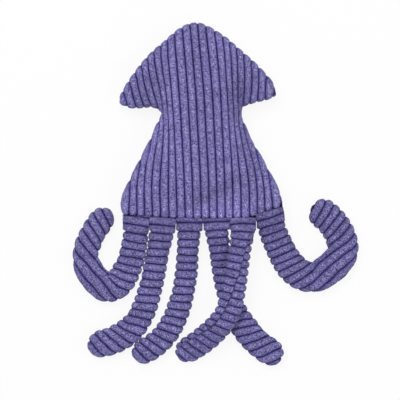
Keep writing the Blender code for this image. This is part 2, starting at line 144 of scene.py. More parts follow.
def set_ramp(node: bpy.types.Node, stops: tuple) -> bpy.types.NodeSocket:
    """Sets a colour ramp's stops.

    Args:
        node: the ramp.
        stops: pairs of a place and a hex colour.

    Returns:
        The ramp's colour output.
    """
    made = node.color_ramp.elements
    while len(made) < len(stops):
        made.new(1)
    for stop, (place, hex_colour) in zip(made, stops):
        stop.position = place
        stop.color = linear(hex_colour)
    return node.outputs["Color"]


def ease(share: np.ndarray) -> np.ndarray:
    """Takes shares from 0 to 1 with no kink at either end, and clips the rest."""
    share = np.clip(share, 0, 1)
    return share * share * (3 - 2 * share)


def from_table(table: tuple, share: np.ndarray) -> np.ndarray:
    """Reads a table of pairs of a share of the way and a value, eased between its rows.

    Args:
        table: the rows.
        share: where to read it.

    Returns:
        The values there.
    """
    places, values = np.array(table).T
    share = np.clip(share, places[0], places[-1])
    row = np.clip(np.searchsorted(places, share, side="right") - 1, 0, len(places) - 2)
    part = ease((share - places[row]) / (places[row + 1] - places[row]))
    return values[row] + (values[row + 1] - values[row]) * part


def lengths_along(line: np.ndarray) -> np.ndarray:
    """The length of a line up to each of its points."""
    return np.concatenate([[0], np.cumsum(np.linalg.norm(np.diff(line, axis=0), axis=1))])


def read_line(stops: np.ndarray, along: np.ndarray, line: np.ndarray) -> np.ndarray:
    """Finds places on a line by their length along it.

    Args:
        stops: the lengths to read at.
        along: the length up to each of the line's points.
        line: the points.

    Returns:
        One place for each stop.
    """
    return np.column_stack([np.interp(stops, along, line[:, k]) for k in range(line.shape[1])])


def lumps(points: np.ndarray, size: float, seed: int) -> np.ndarray:
    """Smooth noise that is the same each run.

    Each corner of a grid of cells gets a value from its whole coordinates, which large primes scatter.

    Args:
        points: places, one a row.
        size: how large a lump is.
        seed: picks the pattern.

    Returns:
        A value from -1 to 1 for each point.
    """
    seed_step, mixer, levels, above_zero = 7919, 1274126177, 65536, 1000
    cell_steps = np.array((73856093, 19349663, 83492791))[:points.shape[1]]
    cells = points / size + above_zero
    low = np.floor(cells).astype(np.int64)
    part = ease(cells - low)
    total = np.zeros(len(points))
    for corner in product((0, 1), repeat=points.shape[1]):
        key = seed * seed_step + (low + corner) @ cell_steps
        key = (key ^ key >> 13) * mixer & 0xFFFFFFFF
        value = (key ^ key >> 15) % levels * 2 / (levels - 1) - 1
        total += value * np.prod(np.where(corner, part, 1 - part), axis=1)
    return total


@dataclass(frozen=True)
class Corduroy:
    """Jumbo corduroy with a long soft pile: round ribs with narrow, deep grooves between them.

    A cut cotton pile's tufts are about 0.3 mm thick. The specks and the tufts of the surface are drawn two to
    four times as coarse, so that they show in a picture of the whole squid.
    """

    pitch: float = 8.0 * MM
    crest: float = 0.5 * MM
    depth: float = 3.1 * MM
    shoulder_power: float = 0.6
    seam_roll: float = 2.0 * MM
    seam_shade: float = 1.5 * MM
    tuft: float = 1.2 * MM
    tuft_rise: float = 0.2 * MM
    tuft_bump: float = 0.5 * MM
    speck: float = 0.8 * MM
    grain: float = 0.4
    softness: float = 0.5
    noise_turn: tuple = (0.7, 0.5, 0.3)
    brushed_patch: float = 12 * MM
    brushed_shades: tuple = (0.93, 1.07)
    noise_range: tuple = (0.3, 0.7)
    ragged: float = 0.06
    speck_range: tuple = (0.49, 0.65)
    shade_range: tuple = (0.27, 0.46)
    darkest: float = 0.3
    rib_shade: float = 0.05
    # The groove and flank colours are painted shade on the ribs.
    groove_shade_hex: str = "28205c"
    flank_shade_hex: str = "4e468f"
    pile_hex: str = "7670ae"
    # The colour of the specks' painted highlights, also the sheen's tint.
    tip_glint_hex: str = "b8b2e4"

    def profile(self, phase: np.ndarray, squareness: float) -> np.ndarray:
        """How far up its rib a point lies.

        Args:
            phase: the point's place across the ribs; a groove lies at each whole number.
            squareness: 2 for a round rib, more for one with a flatter top.

        Returns:
            0 in the groove to 1 on the crest.
        """
        return (1 - (1 - self.from_groove(phase)) ** squareness) ** self.shoulder_power

    def from_groove(self, phase: np.ndarray) -> np.ndarray:
        """How far a point is from its groove, as a share of half a rib: 0 in the groove to 1 on the crest."""
        return 1 - np.abs(2 * (phase - np.floor(phase)) - 1)

    def rise(self, height: np.ndarray, from_seam: np.ndarray, place: np.ndarray) -> np.ndarray:
        """How far the cloth stands over the stuffed form.

        Args:
            height: what profile gives.
            from_seam: each point's distance from its seam.
            place: each point, for the pile's unevenness.

        Returns:
            One distance for each point.
        """
        off = 1 - np.clip(from_seam / self.seam_roll, 0, 1)
        roll = np.sqrt(1 - off * off)
        tufts = lumps(place, self.tuft, Seed.TUFTS) * self.tuft_rise
        return (height * self.depth + tufts) * roll

    def nap(self, phase: np.ndarray, seed: int) -> np.ndarray:
        """How light each rib's pile lies, since no two ribs are brushed alike."""
        return 1 + self.rib_shade * lumps(np.floor(phase)[:, None], 1.0, seed)

    def material(self) -> bpy.types.Material:
        """Woven cotton with a cut and brushed pile.

        Returns:
            The material. It reads two attributes: wale, a point's place on its rib, which is 0 along a seam
                so that
            the groove's painted shade runs there, and nap, how light its pile lies, with the painted shadow
            at an arm's root in it.
        """
        # The pile's ends catch light and its sides swallow it, so the cloth has no gloss and only a faint
        # sheen where it turns away. The colour paints some of this light and shade as well: pale specks on
        # the ribs are painted highlights of the tufts' ends, darker cells are painted shade between the
        # tufts, and the dark grooves and the ribs' darker flanks are painted shade, where the woven ground
        # gets little light.
        made = bpy.data.materials.new("cotton_corduroy_pile")
        made.use_nodes = True
        tree = made.node_tree
        low, high = self.noise_range
        wale = add_node(tree, "Attribute", attribute_name="wale").outputs["Fac"]
        nap = add_node(tree, "Attribute", attribute_name="nap").outputs["Fac"]
        place = add_node(tree, "TexCoord").outputs["Object"]
        aslant = add_node(tree, "Mapping", {"Vector": place, "Rotation": self.noise_turn}).outputs["Vector"]
        tufts = add_node(tree, "TexNoise", {
            "Vector": aslant, "Scale": 1 / self.speck, "Detail": 1.0, "Roughness": 0.5,
        }).outputs["Fac"]
        cells = add_node(tree, "TexVoronoi", {"Vector": place, "Scale": 1 / self.speck}).outputs["Color"]
        chance = add_node(tree, "SeparateColor", {"Color": cells}).outputs["Red"]
        soft = add_node(tree, "Math", {0: tufts, 1: self.softness}, operation="MULTIPLY").outputs[0]
        grainy = add_node(tree, "Math", {
            0: chance, 1: self.grain, 2: soft,
        }, operation="MULTIPLY_ADD").outputs[0]
        brushed = add_node(tree, "TexNoise", {
            "Vector": place, "Scale": 1 / self.brushed_patch, "Detail": 2.0, "Roughness": 0.5,
        }).outputs["Fac"]
        ragged = add_node(tree, "MapRange", {
            "Value": tufts, "From Min": low, "From Max": high, "To Min": -self.ragged, "To Max": self.ragged,
        })
        across = add_node(tree, "Math", {0: wale, 1: ragged.outputs[0]}, operation="ADD")
        # Painted shade: the ramp makes the grooves and the ribs' flanks darker than the pile.
        rib = set_ramp(add_node(tree, "ValToRGB", {"Fac": across.outputs[0]}), (
            (0.0, self.groove_shade_hex), (0.05, self.groove_shade_hex), (0.15, self.flank_shade_hex), (0.32, self.pile_hex),
        ))
        # Painted highlights: pale specks where the tufts' ends catch light, faded out towards the grooves.
        speck = add_node(tree, "MapRange", {
            "Value": grainy, "From Min": self.speck_range[0], "From Max": self.speck_range[1],
        })
        painted_glint_on_rib = add_node(tree, "Math", {0: speck.outputs[0], 1: wale}, operation="MULTIPLY")
        pale = add_node(tree, "Mix", {
            "Factor": painted_glint_on_rib.outputs[0], "A": rib, "B": linear(self.tip_glint_hex),
        }, data_type="RGBA")
        # Painted shade between the tufts: the grain's darker cells darken the colour.
        shade = add_node(tree, "MapRange", {
            "Value": grainy, "From Min": self.shade_range[0], "From Max": self.shade_range[1],
            "To Min": self.darkest,
        })
        lie = add_node(tree, "MapRange", {
            "Value": brushed, "From Min": low, "From Max": high,
            "To Min": self.brushed_shades[0], "To Max": self.brushed_shades[1],
        })
        # The colour is multiplied by the tufts' painted shade, the brushed patches and the nap, which on an
        # arm holds the painted shadow at its root.
        both = add_node(tree, "Math", {0: shade.outputs[0], 1: lie.outputs[0]}, operation="MULTIPLY")
        nap_and_painted_shade = add_node(tree, "Math", {0: both.outputs[0], 1: nap}, operation="MULTIPLY")
        grey = add_node(tree, "CombineColor", {
            "Red": nap_and_painted_shade.outputs[0], "Green": nap_and_painted_shade.outputs[0], "Blue": nap_and_painted_shade.outputs[0],
        })
        pile_with_painted_light = add_node(tree, "Mix", {
            "Factor": 1.0, "A": pale.outputs["Result"], "B": grey.outputs[0],
        }, data_type="RGBA", blend_type="MULTIPLY")
        bump = add_node(tree, "Bump", {"Height": tufts, "Distance": self.tuft_bump, "Strength": 0.7})
        set_inputs(tree.nodes["Principled BSDF"], {
            "Base Color": pile_with_painted_light.outputs["Result"], "Normal": bump.outputs[0],
            "Roughness": 0.95, "Specular IOR Level": 0.15,
            "Sheen Weight": 0.25, "Sheen Roughness": 0.4, "Sheen Tint": linear(self.tip_glint_hex),
        })
        return made


@dataclass(frozen=True)
class SewingThread:
    """Spun polyester thread, plied from fine strands."""

    ply: float = 0.5 * MM
    ply_rise: float = 0.1 * MM
    twist_shade_hex: str = "2c2558"
    light_hex: str = "4c447f"

    def material(self) -> bpy.types.Material:
        """Dark violet with a fine twist along it.

        Returns:
            The material.
        """
        # The plied strands break the thread's soft gleam into short slanting lines of light and dark. The
        # bump shades them, and the colour paints them too, as painted highlights and painted shade along the
        # twist.
        made = bpy.data.materials.new("spun_polyester_thread")
        made.use_nodes = True
        tree = made.node_tree
        place = add_node(tree, "TexCoord").outputs["Object"]
        twist = add_node(tree, "TexWave", {
            "Vector": place, "Scale": 1 / self.ply, "Distortion": 2.0, "Detail": 1.0,
        }, bands_direction="DIAGONAL").outputs["Fac"]
        # Painted highlights and painted shade along the twist.
        painted_twist_light = set_ramp(add_node(tree, "ValToRGB", {"Fac": twist}), (
            (0.0, self.twist_shade_hex), (1.0, self.light_hex),
        ))
        bump = add_node(tree, "Bump", {"Height": twist, "Distance": self.ply_rise, "Strength": 0.5})
        set_inputs(tree.nodes["Principled BSDF"], {
            "Base Color": painted_twist_light, "Normal": bump.outputs[0], "Roughness": 0.6,
        })
        return made


def places_of(thing: bpy.types.Object) -> np.ndarray:
    """Reads the places of an object's vertices, as modifiers leave them.

    Args:
        thing: the object.

    Returns:
        One row for each vertex.
    """
    shown = thing.evaluated_get(bpy.context.evaluated_depsgraph_get()).to_mesh()
    flat = np.zeros(len(shown.vertices) * 3)
    shown.vertices.foreach_get("co", flat)
    return flat.reshape(-1, 3)


def mesh_piece(name: str, points: np.ndarray, faces: list) -> bpy.types.Object:
    """Makes a smooth mesh object at the origin.

    Args:
        name: the object's name.
        points: the vertices.
        faces: the faces, as vertex numbers.

    Returns:
        The object.
    """
    mesh = bpy.data.meshes.new(name)
    mesh.from_pydata(points.tolist(), [], faces)
    mesh.shade_smooth()
    made = bpy.data.objects.new(name, mesh)
    bpy.context.scene.collection.objects.link(made)
    return made


@dataclass
class Stuffing:
    """Fibre that fills a closed form and swells it, in the cloth simulation's own units."""

    pressure: float = 4.0
    last_frame: int = 20
    stretch: float = 5.0
    bending: float = 0.1
    vertex_mass: float = 0.001

    def swell(self, form: bpy.types.Object, cap: float, held: list) -> np.ndarray:
        """Swells a closed form by cloth simulation.

        Args:
            form: the form's mesh, with cells of about 4.5 mm.
            cap: how far a point may move.
            held: the numbers of the vertices that a seam holds.
        """
        before = places_of(form)
        group = form.vertex_groups.new(name="sewn")
        group.add(held, 1.0, "REPLACE")
        cloth = form.modifiers.new("fill", "CLOTH")
        cloth.settings.use_pressure = True
        cloth.settings.uniform_pressure_force = self.pressure
        cloth.settings.effector_weights.gravity = 0
        cloth.settings.vertex_group_mass = group.name
        cloth.settings.mass = self.vertex_mass
        cloth.settings.tension_stiffness = cloth.settings.compression_stiffness = self.stretch
        cloth.settings.bending_stiffness = self.bending
        cloth.point_cache.frame_start = 1
        cloth.point_cache.frame_end = self.last_frame
        for number in range(1, self.last_frame + 1):
            bpy.context.scene.frame_set(number)
        after = places_of(form)
        form.modifiers.remove(cloth)
        bpy.context.scene.frame_set(1)
        move = after - before
        length = np.linalg.norm(move, axis=1)
        return before + move * np.minimum(1, cap / np.maximum(length, TINY))[:, None]


def tube_faces(rows: int, columns: int) -> list:
    """Faces that join a grid's rows into a tube with closed ends.

    Args:
        rows: how many rows of points it has.
        columns: how many points are in a row.

    Returns:
        The faces as point numbers, the two ends last.
    """
    faces = []
    for low, j in product(range(0, (rows - 1) * columns, columns), range(columns)):
        high, after = low + columns, (j + 1) % columns
        faces.append((low + j, high + j, high + after, low + after))
    last = (rows - 1) * columns
    return faces + [tuple(range(columns)), tuple(range(last + columns - 1, last - 1, -1))]


def spread(values: np.ndarray, rows: np.ndarray) -> np.ndarray:
    """Reads an array between its rows, along the smooth cubic curve that passes through them.

    Args:
        values: the array; its rows are the curve's points.
        rows: where to read it, in row numbers with fractions.

    Returns:
        One row for each place.
    """
    last = len(values) - 1
    base = np.clip(np.floor(rows).astype(int), 0, last - 1)
    part = (rows - base).reshape((-1,) + (1,) * (values.ndim - 1))
    a, b, c, d = (values[np.clip(base + k, 0, last)] for k in (-1, 0, 1, 2))
    square = 2 * a - 5 * b + 4 * c - d
    cube = 3 * b - a - 3 * c + d
    return b + ((c - a) * part + square * part ** 2 + cube * part ** 3) / 2


class Panel:
    """One piece of corduroy, closed behind by the stuffing's face."""

    def __init__(self, name: str, points: np.ndarray, faces: list, wale: np.ndarray, nap: np.ndarray) -> None:
        """Makes the mesh and gives it the values that its material reads.

        Args:
            name: the piece's name.
            points: its vertices.
            faces: its faces, facing out.
            wale: how far each vertex is from a groove, as a share of half a rib; 0 along a seam, for painted
                shade.
            nap: how light the pile lies there, with the painted shadow at an arm's root.
        """
        self.thing = mesh_piece(name, points, faces)
        for key, values in (("wale", wale), ("nap", nap)):
            attribute = self.thing.data.attributes.new(key, "FLOAT", "POINT")
            attribute.data.foreach_set("value", values.astype(np.float32))

    def dress(self, material: bpy.types.Material, fill: float, body: str, side: Side) -> bpy.types.Object:
        """Gives the panel its cloth and hides the frame's parts that it stands for.

        Args:
            material: the cloth.
            fill: how tight the stuffing is; not used.
            body: the stuffed body that it covers.
            side: the side that it covers; the front also stands for the stuffing.

        Returns:
            The object.
        """
        nodes = [f"{body}_{side.label}_panel"]
        if side is Side.FRONT:
            nodes.append(f"{body}_stuffing")
        self.thing.data.materials.append(material)
        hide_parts(*nodes)
        log.info("%s: %d vertices", self.thing.name, len(self.thing.data.vertices))
        return self.thing


@dataclass
class Seam:
    """Stitches of one thread along a seam, sunk between the two panels that it joins.

    The slant is how far each stitch leans out of the seam's plane, in degrees, one up and the next down.
    """

    pitch: float = 3.5 * MM
    length: float = 3.0 * MM
    thickness: float = 0.5 * MM
    slant: float = 12.0
    facets: int = 6
    no_radius: float = 0.0001

    def one(self) -> tuple:
        """One stitch along X, a ball drawn out until its ends are blunt.

        Returns:
            Its vertices and its faces.
        """
        bpy.ops.object.select_all(action="DESELECT")
        bpy.ops.mesh.primitive_uv_sphere_add(
            segments=self.facets, ring_count=self.facets, radius=0.5, rotation=(0, math.pi / 2, 0),
        )
        ball = bpy.context.object
        bpy.ops.object.transform_apply()
        points = places_of(ball)
        # A new ball's faces come in another order each run, so they are sorted, each from its lowest number.
        faces = []
        for face in ball.data.polygons:
            first = list(face.vertices).index(min(face.vertices))
            faces.append((*face.vertices[first:], *face.vertices[:first]))
        faces.sort()
        bpy.data.objects.remove(ball)
        # Its radius at x is the root of 0.25 - x ** 2. The root of 0.25 - 4 * x ** 4 has blunter ends.
        x = points[:, :1]
        points[:, 1:] *= np.sqrt(np.abs(0.25 - x ** 4 * 4) / np.abs(0.25 + self.no_radius - x ** 2))
        return points * (self.length, self.thickness, self.thickness), faces

    def sew(self, name: str, path: np.ndarray, material: bpy.types.Material) -> bpy.types.Object:
        """Sews along an open path in the seam's plane.

        Args:
            name: the name of the whole row of stitches.
            path: the points that it runs through.
            material: the thread.

        Returns:
            The row as one object.
        """
        shape, faces = self.one()
        along = lengths_along(path)
        stops = np.arange(self.pitch / 2, along[-1] - self.pitch / 2, self.pitch)
        points, all_faces = [], []
        for number, stop in enumerate(stops):
            ends = read_line(stop + np.array((-1, 1)) * self.length / 2, along, path)
            run = (ends[1] - ends[0]) / np.linalg.norm(ends[1] - ends[0])
            side = np.cross((0, 0, 1), run)
            side /= np.linalg.norm(side)
            up = np.cross(run, side)
            lean = math.radians(self.slant * (1 if number % 2 else -1))
            run, up = run * math.cos(lean) + up * math.sin(lean), up * math.cos(lean) - run * math.sin(lean)
            points.append((ends[0] + ends[1]) / 2 + shape @ np.array((run, side, up)))
            all_faces += [tuple(v + number * len(shape) for v in face) for face in faces]
        made = mesh_piece(name, np.vstack(points), all_faces)
        made.data.materials.append(material)
        log.info("%s: %d stitches", name, len(stops))
        return made


def seam_rise(x: np.ndarray) -> np.ndarray:
    """The bottom seam's place along Y. It runs straight along each arm's joint in the frame.

    Args:
        x: places along X.

    Returns:
        The seam's Y at each.
    """
    joints = frame["joints"]
    half = (joints[1]["pos_m"][0] - joints[0]["pos_m"][0]) / 2
    # Two neighbours' ends lie just apart, since interp needs places that rise.
    short_of_half = 0.999
    ends_x, ends_y = [], []
    for joint in joints:
        slope = joint["axis"][1] / joint["axis"][0]
        for hand in (-1, 1):
            ends_x.append(joint["pos_m"][0] + hand * half * short_of_half)
            ends_y.append(joint["pos_m"][1] + hand * half * slope)
    return np.interp(x, ends_x, ends_y)


@dataclass
class Outline:
    """A closed line in plan, anticlockwise."""

    points: np.ndarray

    def evenly(self, step: float, rounds: int = 0) -> "Outline":
        """Sets the line's points evenly.

        Args:
            step: about how far apart the points are.
            rounds: how often each point is moved halfway to the middle of its neighbours.

        Returns:
            The new line.
        """
        closed = np.vstack([self.points, self.points[:1]])
        along = lengths_along(closed)
        stops = np.linspace(0, along[-1], round(along[-1] / step), endpoint=False)
        points = read_line(stops, along, closed)
        for _ in range(rounds):
            points = (np.roll(points, 1, axis=0) + 2 * points + np.roll(points, -1, axis=0)) / 4
        return Outline(points)

    def inward(self) -> np.ndarray:
        """The direction into the outline at each of its points, square to the line between points near it.

        Returns:
            One direction of length 1 for each point.
        """
        apart = 2
        run = np.roll(self.points, -apart, axis=0) - np.roll(self.points, apart, axis=0)
        square = np.column_stack([-run[:, 1], run[:, 0]])
        return square / np.linalg.norm(square, axis=1)[:, None]

    def distance(self, places: np.ndarray) -> np.ndarray:
        """How far places are from the line.

        Args:
            places: places in plan, one a row.

        Returns:
            A distance for each, less than zero outside the line.
        """
        at_once = 1500
        starts = self.points
        ends = np.roll(self.points, -1, axis=0)
        run = ends - starts
        result = []
        for part in np.array_split(places, max(len(places) // at_once, 1)):
            off = part[:, None] - starts
            share = np.clip((off * run).sum(axis=2) / (run * run).sum(axis=1), 0, 1)
            near = np.linalg.norm(off - share[:, :, None] * run, axis=2).min(axis=1)
            spans = (starts[:, 1] > part[:, 1:]) != (ends[:, 1] > part[:, 1:])
            rise = np.where(run[:, 1] == 0, 1, run[:, 1])
            cross = starts[:, 0] + (part[:, 1:] - starts[:, 1]) * run[:, 0] / rise
            inside = (spans & (part[:, :1] < cross)).sum(axis=1) % 2 == 1
            result.append(np.where(inside, near, -near))
        return np.concatenate(result)


@dataclass
class Raster:
    """Values on a square grid in plan."""

    low: np.ndarray
    step: float
    values: np.ndarray

    def read(self, places: np.ndarray) -> np.ndarray:
        """Reads the grid between its points.

        Args:
            places: places in plan, one a row.

        Returns:
            The value at each.
        """
        just_inside = np.array(self.values.shape) - 1.001
        spot = np.clip((places - self.low) / self.step, 0, just_inside)
        cell = np.floor(spot).astype(int)
        part = spot - cell
        total = np.zeros(len(places))
        for right, up in product((0, 1), repeat=2):
            weight = np.abs(1 - right - part[:, 0]) * np.abs(1 - up - part[:, 1])
            total += weight * self.values[cell[:, 0] + right, cell[:, 1] + up]
        return total

    def blurred(self, rounds: int) -> "Raster":
        """Evens out the values.

        Args:
            rounds: how often each value is moved towards the mean of its neighbours.

        Returns:
            The same grid with the new values.
        """
        values = self.values
        for _ in range(rounds):
            for axis in (0, 1):
                edge = np.take(values, [0], axis=axis), np.take(values, [-1], axis=axis)
                wide = np.concatenate([edge[0], values, edge[1]], axis=axis)
                first = np.take(wide, range(values.shape[axis]), axis=axis)
                last = np.take(wide, range(2, values.shape[axis] + 2), axis=axis)
                values = (first + 2 * values + last) / 4
        return Raster(self.low, self.step, values)


@dataclass
class Mantle:
    """The squid's flat stuffed body with its fins.

    The tables are in mm. lifts pairs an X with how far the bottom edge stands up there, and notches holds the
    places of the two necks. A row of brushed is a patch of pile that lies another way: its middle, its turn
    in degrees, its half length and half width, and how much lighter it is. A row of gathers is a neck where
    the fin's cloth is gathered: its side, its Y, how many ribs it takes up, how far it reaches up and down,
    and where it starts and how wide it is, from the middle groove. The ring stops count from the edge, and
    the rib stops are shares of a rib.
    """

    cloth: Corduroy
    stuffing: Stuffing
    fill: float = 0.6
    voxel: float = 4.5 * MM
    squareness: float = 3.6
    cap: float = 3.5 * MM
    cell: float = 2.0 * MM
    margin: int = 3
    probe: float = 100 * MM
    blur_rounds: int = 3
    rim_step: float = 0.6 * MM
    rim_rounds: int = 12
    base_rounds: int = 2
    row_step: float = 1.7 * MM
    inset: float = 1.6 * MM
    inset_kept: float = 0.97
    bottom_lip: float = 1.0 * MM
    bottom_blend: float = 9 * MM
    lifts: tuple = ((-84, 1.4), (-66, 1.2), (-48, 0.5), (-36, 0), (42, 0), (54, 2.8), (66, 3.2), (84, 3.2))
    lip_height: float = 2.4 * MM
    lip_length: float = 7 * MM
    lip_reach: float = 0.4 * MM
    rib_end: float = 1.3 * MM
    rib_end_length: float = 5 * MM
    notches: tuple = ((39.5, 29), (-43, 28))
    notch_reach: float = 23 * MM
    notch_depth: float = 3.8 * MM
    fin_lift: float = 1.8 * MM
    thread_out: float = 0.25 * MM
    roll: float = 4.5 * MM
    bottom_roll: float = 2.6 * MM
    roll_length: float = 16 * MM
    edge_fade: float = 2.5 * MM
    sunk_share: float = 0.75
    join_power: int = 4
    lid_gap: float = 0.12 * MM
    rest_gap: float = 0.15 * MM
    ring_stops: tuple = (0.15, 0.4, 0.75, 1.2, 1.8, 2.5, 3.4, 4.4, 5.4)
    ring_kept: float = 0.85
    ring_gap: float = 0.5
    rib_stops: tuple = (0, 0.05, 0.11, 0.2, 0.33, 0.5, 0.67, 0.8, 0.89, 0.95)
    brushed: tuple = (
        ((12, -74), 4, (43, 13), 0.38), ((26, -47), 27, (24, 4.5), -0.28), ((-4, -60), 20, (18, 4), -0.16),
        ((-40, 10), 80, (60, 12), 0.12), ((45, -5), 100, (50, 12), -0.1), ((45, 50), 40, (30, 16), -0.2),
        ((-52, 45), 50, (34, 18), -0.18), ((4, 70), 90, (44, 34), -0.06),
    )
    grain_bottom: float = 6.0 * MM
    grain_lean: float = 12.2 * MM
    grain_power: float = 1.7
    wander: float = 0.07
    wander_size: float = 16 * MM
    wander_stretch: float = 3
    back_shift: float = 0.1
    gathers: tuple = ((-1, 28, 0.95, 62, 85, 25, 22), (1, 29, 0.95, 95, 85, 17, 22))

    def __post_init__(self) -> None:
        """Finds the rim, and the line where the cloth turns in to its seam."""
        self.rim = self.outer_edge().evenly(self.rim_step, self.rim_rounds)
        base = self.rim.points + self.rim.inward() * self.inset
        base = base[self.rim.distance(base) > self.inset * self.inset_kept]
        for notch in self.notches:
            near = 1 - ease(np.linalg.norm(base - np.array(notch) * MM, axis=1) / self.notch_reach)
            base[:, 0] += near * self.notch_depth * Outline(base).inward()[:, 0]
        base[:, 1] += self.fin_lift * np.clip(Outline(base).inward()[:, 1], 0, 1) * (base[:, 1] > 0)
        drop = 1 - ease((base[:, 1] - seam_rise(base[:, 0]) - self.inset) / self.bottom_blend)
        base[:, 1] += drop * (self.edge_rise(base[:, 0]) - seam_rise(base[:, 0]) - self.inset)
        self.base = Outline(base).evenly(self.rim_step, self.base_rounds)

    def edge_rise(self, x: np.ndarray) -> np.ndarray:
        """The Y of the cloth's bottom edge, which rises over the outer arms' roots."""
        return seam_rise(x) + self.bottom_lip + from_table(self.lifts, x / MM) * MM

    def outer_edge(self) -> Outline:
        """Finds the outline of the frame's front panel: the outer edge of its flat rim.

        Returns:
            The outline.
        """
        same, level = 0.001 * MM, 0.01 * MM
        work = bmesh.new()
        work.from_mesh(frame["nodes"]["mantle_front_panel"].data)
        bmesh.ops.remove_doubles(work, verts=work.verts, dist=same)
        low = min(v.co.z for v in work.verts) + level
        flat = {f for f in work.faces if all(v.co.z < low for v in f.verts)}
        edges = [e for f in flat for e in f.edges if sum(g in flat for g in e.link_faces) == 1]
        after = {}
        for edge in edges:
            for a, b in (edge.verts, reversed(edge.verts)):
                after.setdefault(a, []).append(b)
        loops, seen = [], set()
        for start in after:
            if start in seen:
                continue
            loop, at = [start], start
            seen.add(start)
            while True:
                ahead = [v for v in after[at] if v not in seen]
                if not ahead:
                    break
                at = ahead[0]
                seen.add(at)
                loop.append(at)
            loops.append(np.array([v.co.xy for v in loop]))
        work.free()
        areas = [np.cross(p, np.roll(p, -1, axis=0)).sum() / 2 for p in loops]
        widest = int(np.argmax(np.abs(areas)))
        outline = loops[widest][::1 if areas[widest] > 0 else -1]
        # It starts at its top, since the faces come in another order each run.
        top = int(np.lexsort(outline.T)[-1])
        return Outline(np.roll(outline, -top, axis=0))

    def form(self) -> BVHTree:
        """Remeshes the frame's mantle as one closed form and swells it.

        Returns:
            The form's faces.
        """
        bpy.ops.object.select_all(action="DESELECT")
        copies = []
        for name in ("mantle_front_panel", "mantle_back_panel", "mantle_stuffing"):
            copy = bpy.data.objects.new("mantle_form", frame["nodes"][name].data.copy())
            bpy.context.scene.collection.objects.link(copy)
            copy.select_set(True)
            copies.append(copy)
        bpy.context.view_layer.objects.active = copies[0]
        bpy.ops.object.join()
        form = bpy.context.object
        form.data.remesh_voxel_size = self.voxel
        form.data.remesh_voxel_adaptivity = 0
        bpy.ops.object.voxel_remesh()
        even = form.modifiers.new("even", "SMOOTH")
        even.factor = 0.5
        even.iterations = 6
        bpy.ops.object.modifier_apply(modifier=even.name)
        rest = places_of(form)
        sewn = np.flatnonzero(np.abs(rest[:, 2] - SEAM_Z) < self.voxel / 2).tolist()
        swollen = self.stuffing.swell(form, self.cap, sewn)
        form.data.vertices.foreach_set("co", swollen.ravel())
        form.data.update()
        tree = BVHTree.FromObject(form, bpy.context.evaluated_depsgraph_get())
        bpy.data.objects.remove(form)
        return tree

    def heights(self, tree: BVHTree, side: Side) -> Raster:
        """How high the form stands over its seam on one side.

        Args:
            tree: the form's faces.
            side: which side.

        Returns:
            The heights.
        """
        margin = self.margin * self.cell
        low = self.rim.points.min(axis=0) - margin
        count = np.ceil((self.rim.points.max(axis=0) + margin - low) / self.cell).astype(int) + 1
        values = np.zeros(count)
        start = SEAM_Z + side.value * self.probe
        for i, j in product(range(count[0]), range(count[1])):
            spot = (low[0] + i * self.cell, low[1] + j * self.cell, start)
            hit = tree.ray_cast(spot, (0, 0, -side.value))[0]
            if hit:
                values[i, j] = max(side.value * (hit.z - SEAM_Z), 0)
        return Raster(low, self.cell, values).blurred(self.blur_rounds)

    def phases(self, heights: Raster) -> Raster:
        """Each place's count of ribs from the middle groove, with the cloth's own length over the swell.

        Args:
            heights: how high the form stands.

        Returns:
            The counts; a groove lies at each whole number.
        """
        nx, ny = heights.values.shape
        x = heights.low[0] + np.arange(nx) * heights.step
        y = heights.low[1] + np.arange(ny) * heights.step
        rise = np.diff(heights.values, axis=0)
        along = np.vstack([np.zeros(ny), np.cumsum(np.hypot(rise, heights.step), axis=0)])
        share = np.clip((y - y[0]) / (y[-1] - y[0]), 0, 1)
        middle = self.grain_bottom - self.grain_lean * share ** self.grain_power
        for j in range(ny):
            along[:, j] -= np.interp(middle[j], x, along[:, j])
        for hand, level, ribs, above, below, start, width in self.gathers:
            off = y - level * MM
            near = 1 - ease(np.where(off > 0, off / above, -off / below) / MM)
            out = ease((hand * (x[:, None] - middle) - start * MM) / (width * MM))
            along += hand * ribs * self.cloth.pitch * out * near
        grid = np.stack(np.meshgrid(x, y / self.wander_stretch, indexing="ij"), axis=2).reshape(-1, 2)
        wander = lumps(grid, self.wander_size, Seed.MANTLE_RIBS).reshape(nx, ny) * self.wander
        return Raster(heights.low, heights.step, along / self.cloth.pitch + wander)

    def plan(self, phases: Raster) -> tuple:
        """Points in plan for the cloth, lined up with its ribs, and the triangles between them.

        Args:
            phases: the rib count.

        Returns:
            The points, their distances from the outline and the triangles.
        """
        base = self.base
        inward = base.inward()
        points = [base.points]
        off = [np.zeros(len(base.points))]
        for stop in self.ring_stops:
            ring = base.points + inward * stop * MM
            near = base.distance(ring)
            kept = near > stop * MM * self.ring_kept
            points.append(ring[kept])
            off.append(near[kept])
        inner = []
        nx, ny = phases.values.shape
        x = phases.low[0] + np.arange(nx) * phases.step
        top = phases.low[1] + (ny - 1) * phases.step
        for y in np.arange(phases.low[1], top, self.row_step):
            row = phases.read(np.column_stack([x, np.full(nx, y)]))
            first, last = math.floor(row[0]), math.ceil(row[-1])
            counts = np.add.outer(np.arange(first, last), np.array(self.rib_stops)).ravel()
            counts = counts[(counts > row[0]) & (counts < row[-1])]
            inner.append(np.column_stack([np.interp(counts, row, x), np.full(len(counts), y)]))
        inner = np.vstack(inner)
        near = base.distance(inner)
        kept = near > (self.ring_stops[-1] + self.ring_gap) * MM
        points = np.vstack(points + [inner[kept]])
        off = np.concatenate(off + [near[kept]])
        rim = [list(range(len(base.points)))]
        made = delaunay_2d_cdt([Vector(p) for p in points], [], rim, 1, TINY)
        order = [ids[0] for ids in made[3]]
        return points[order], off[order], made[2]

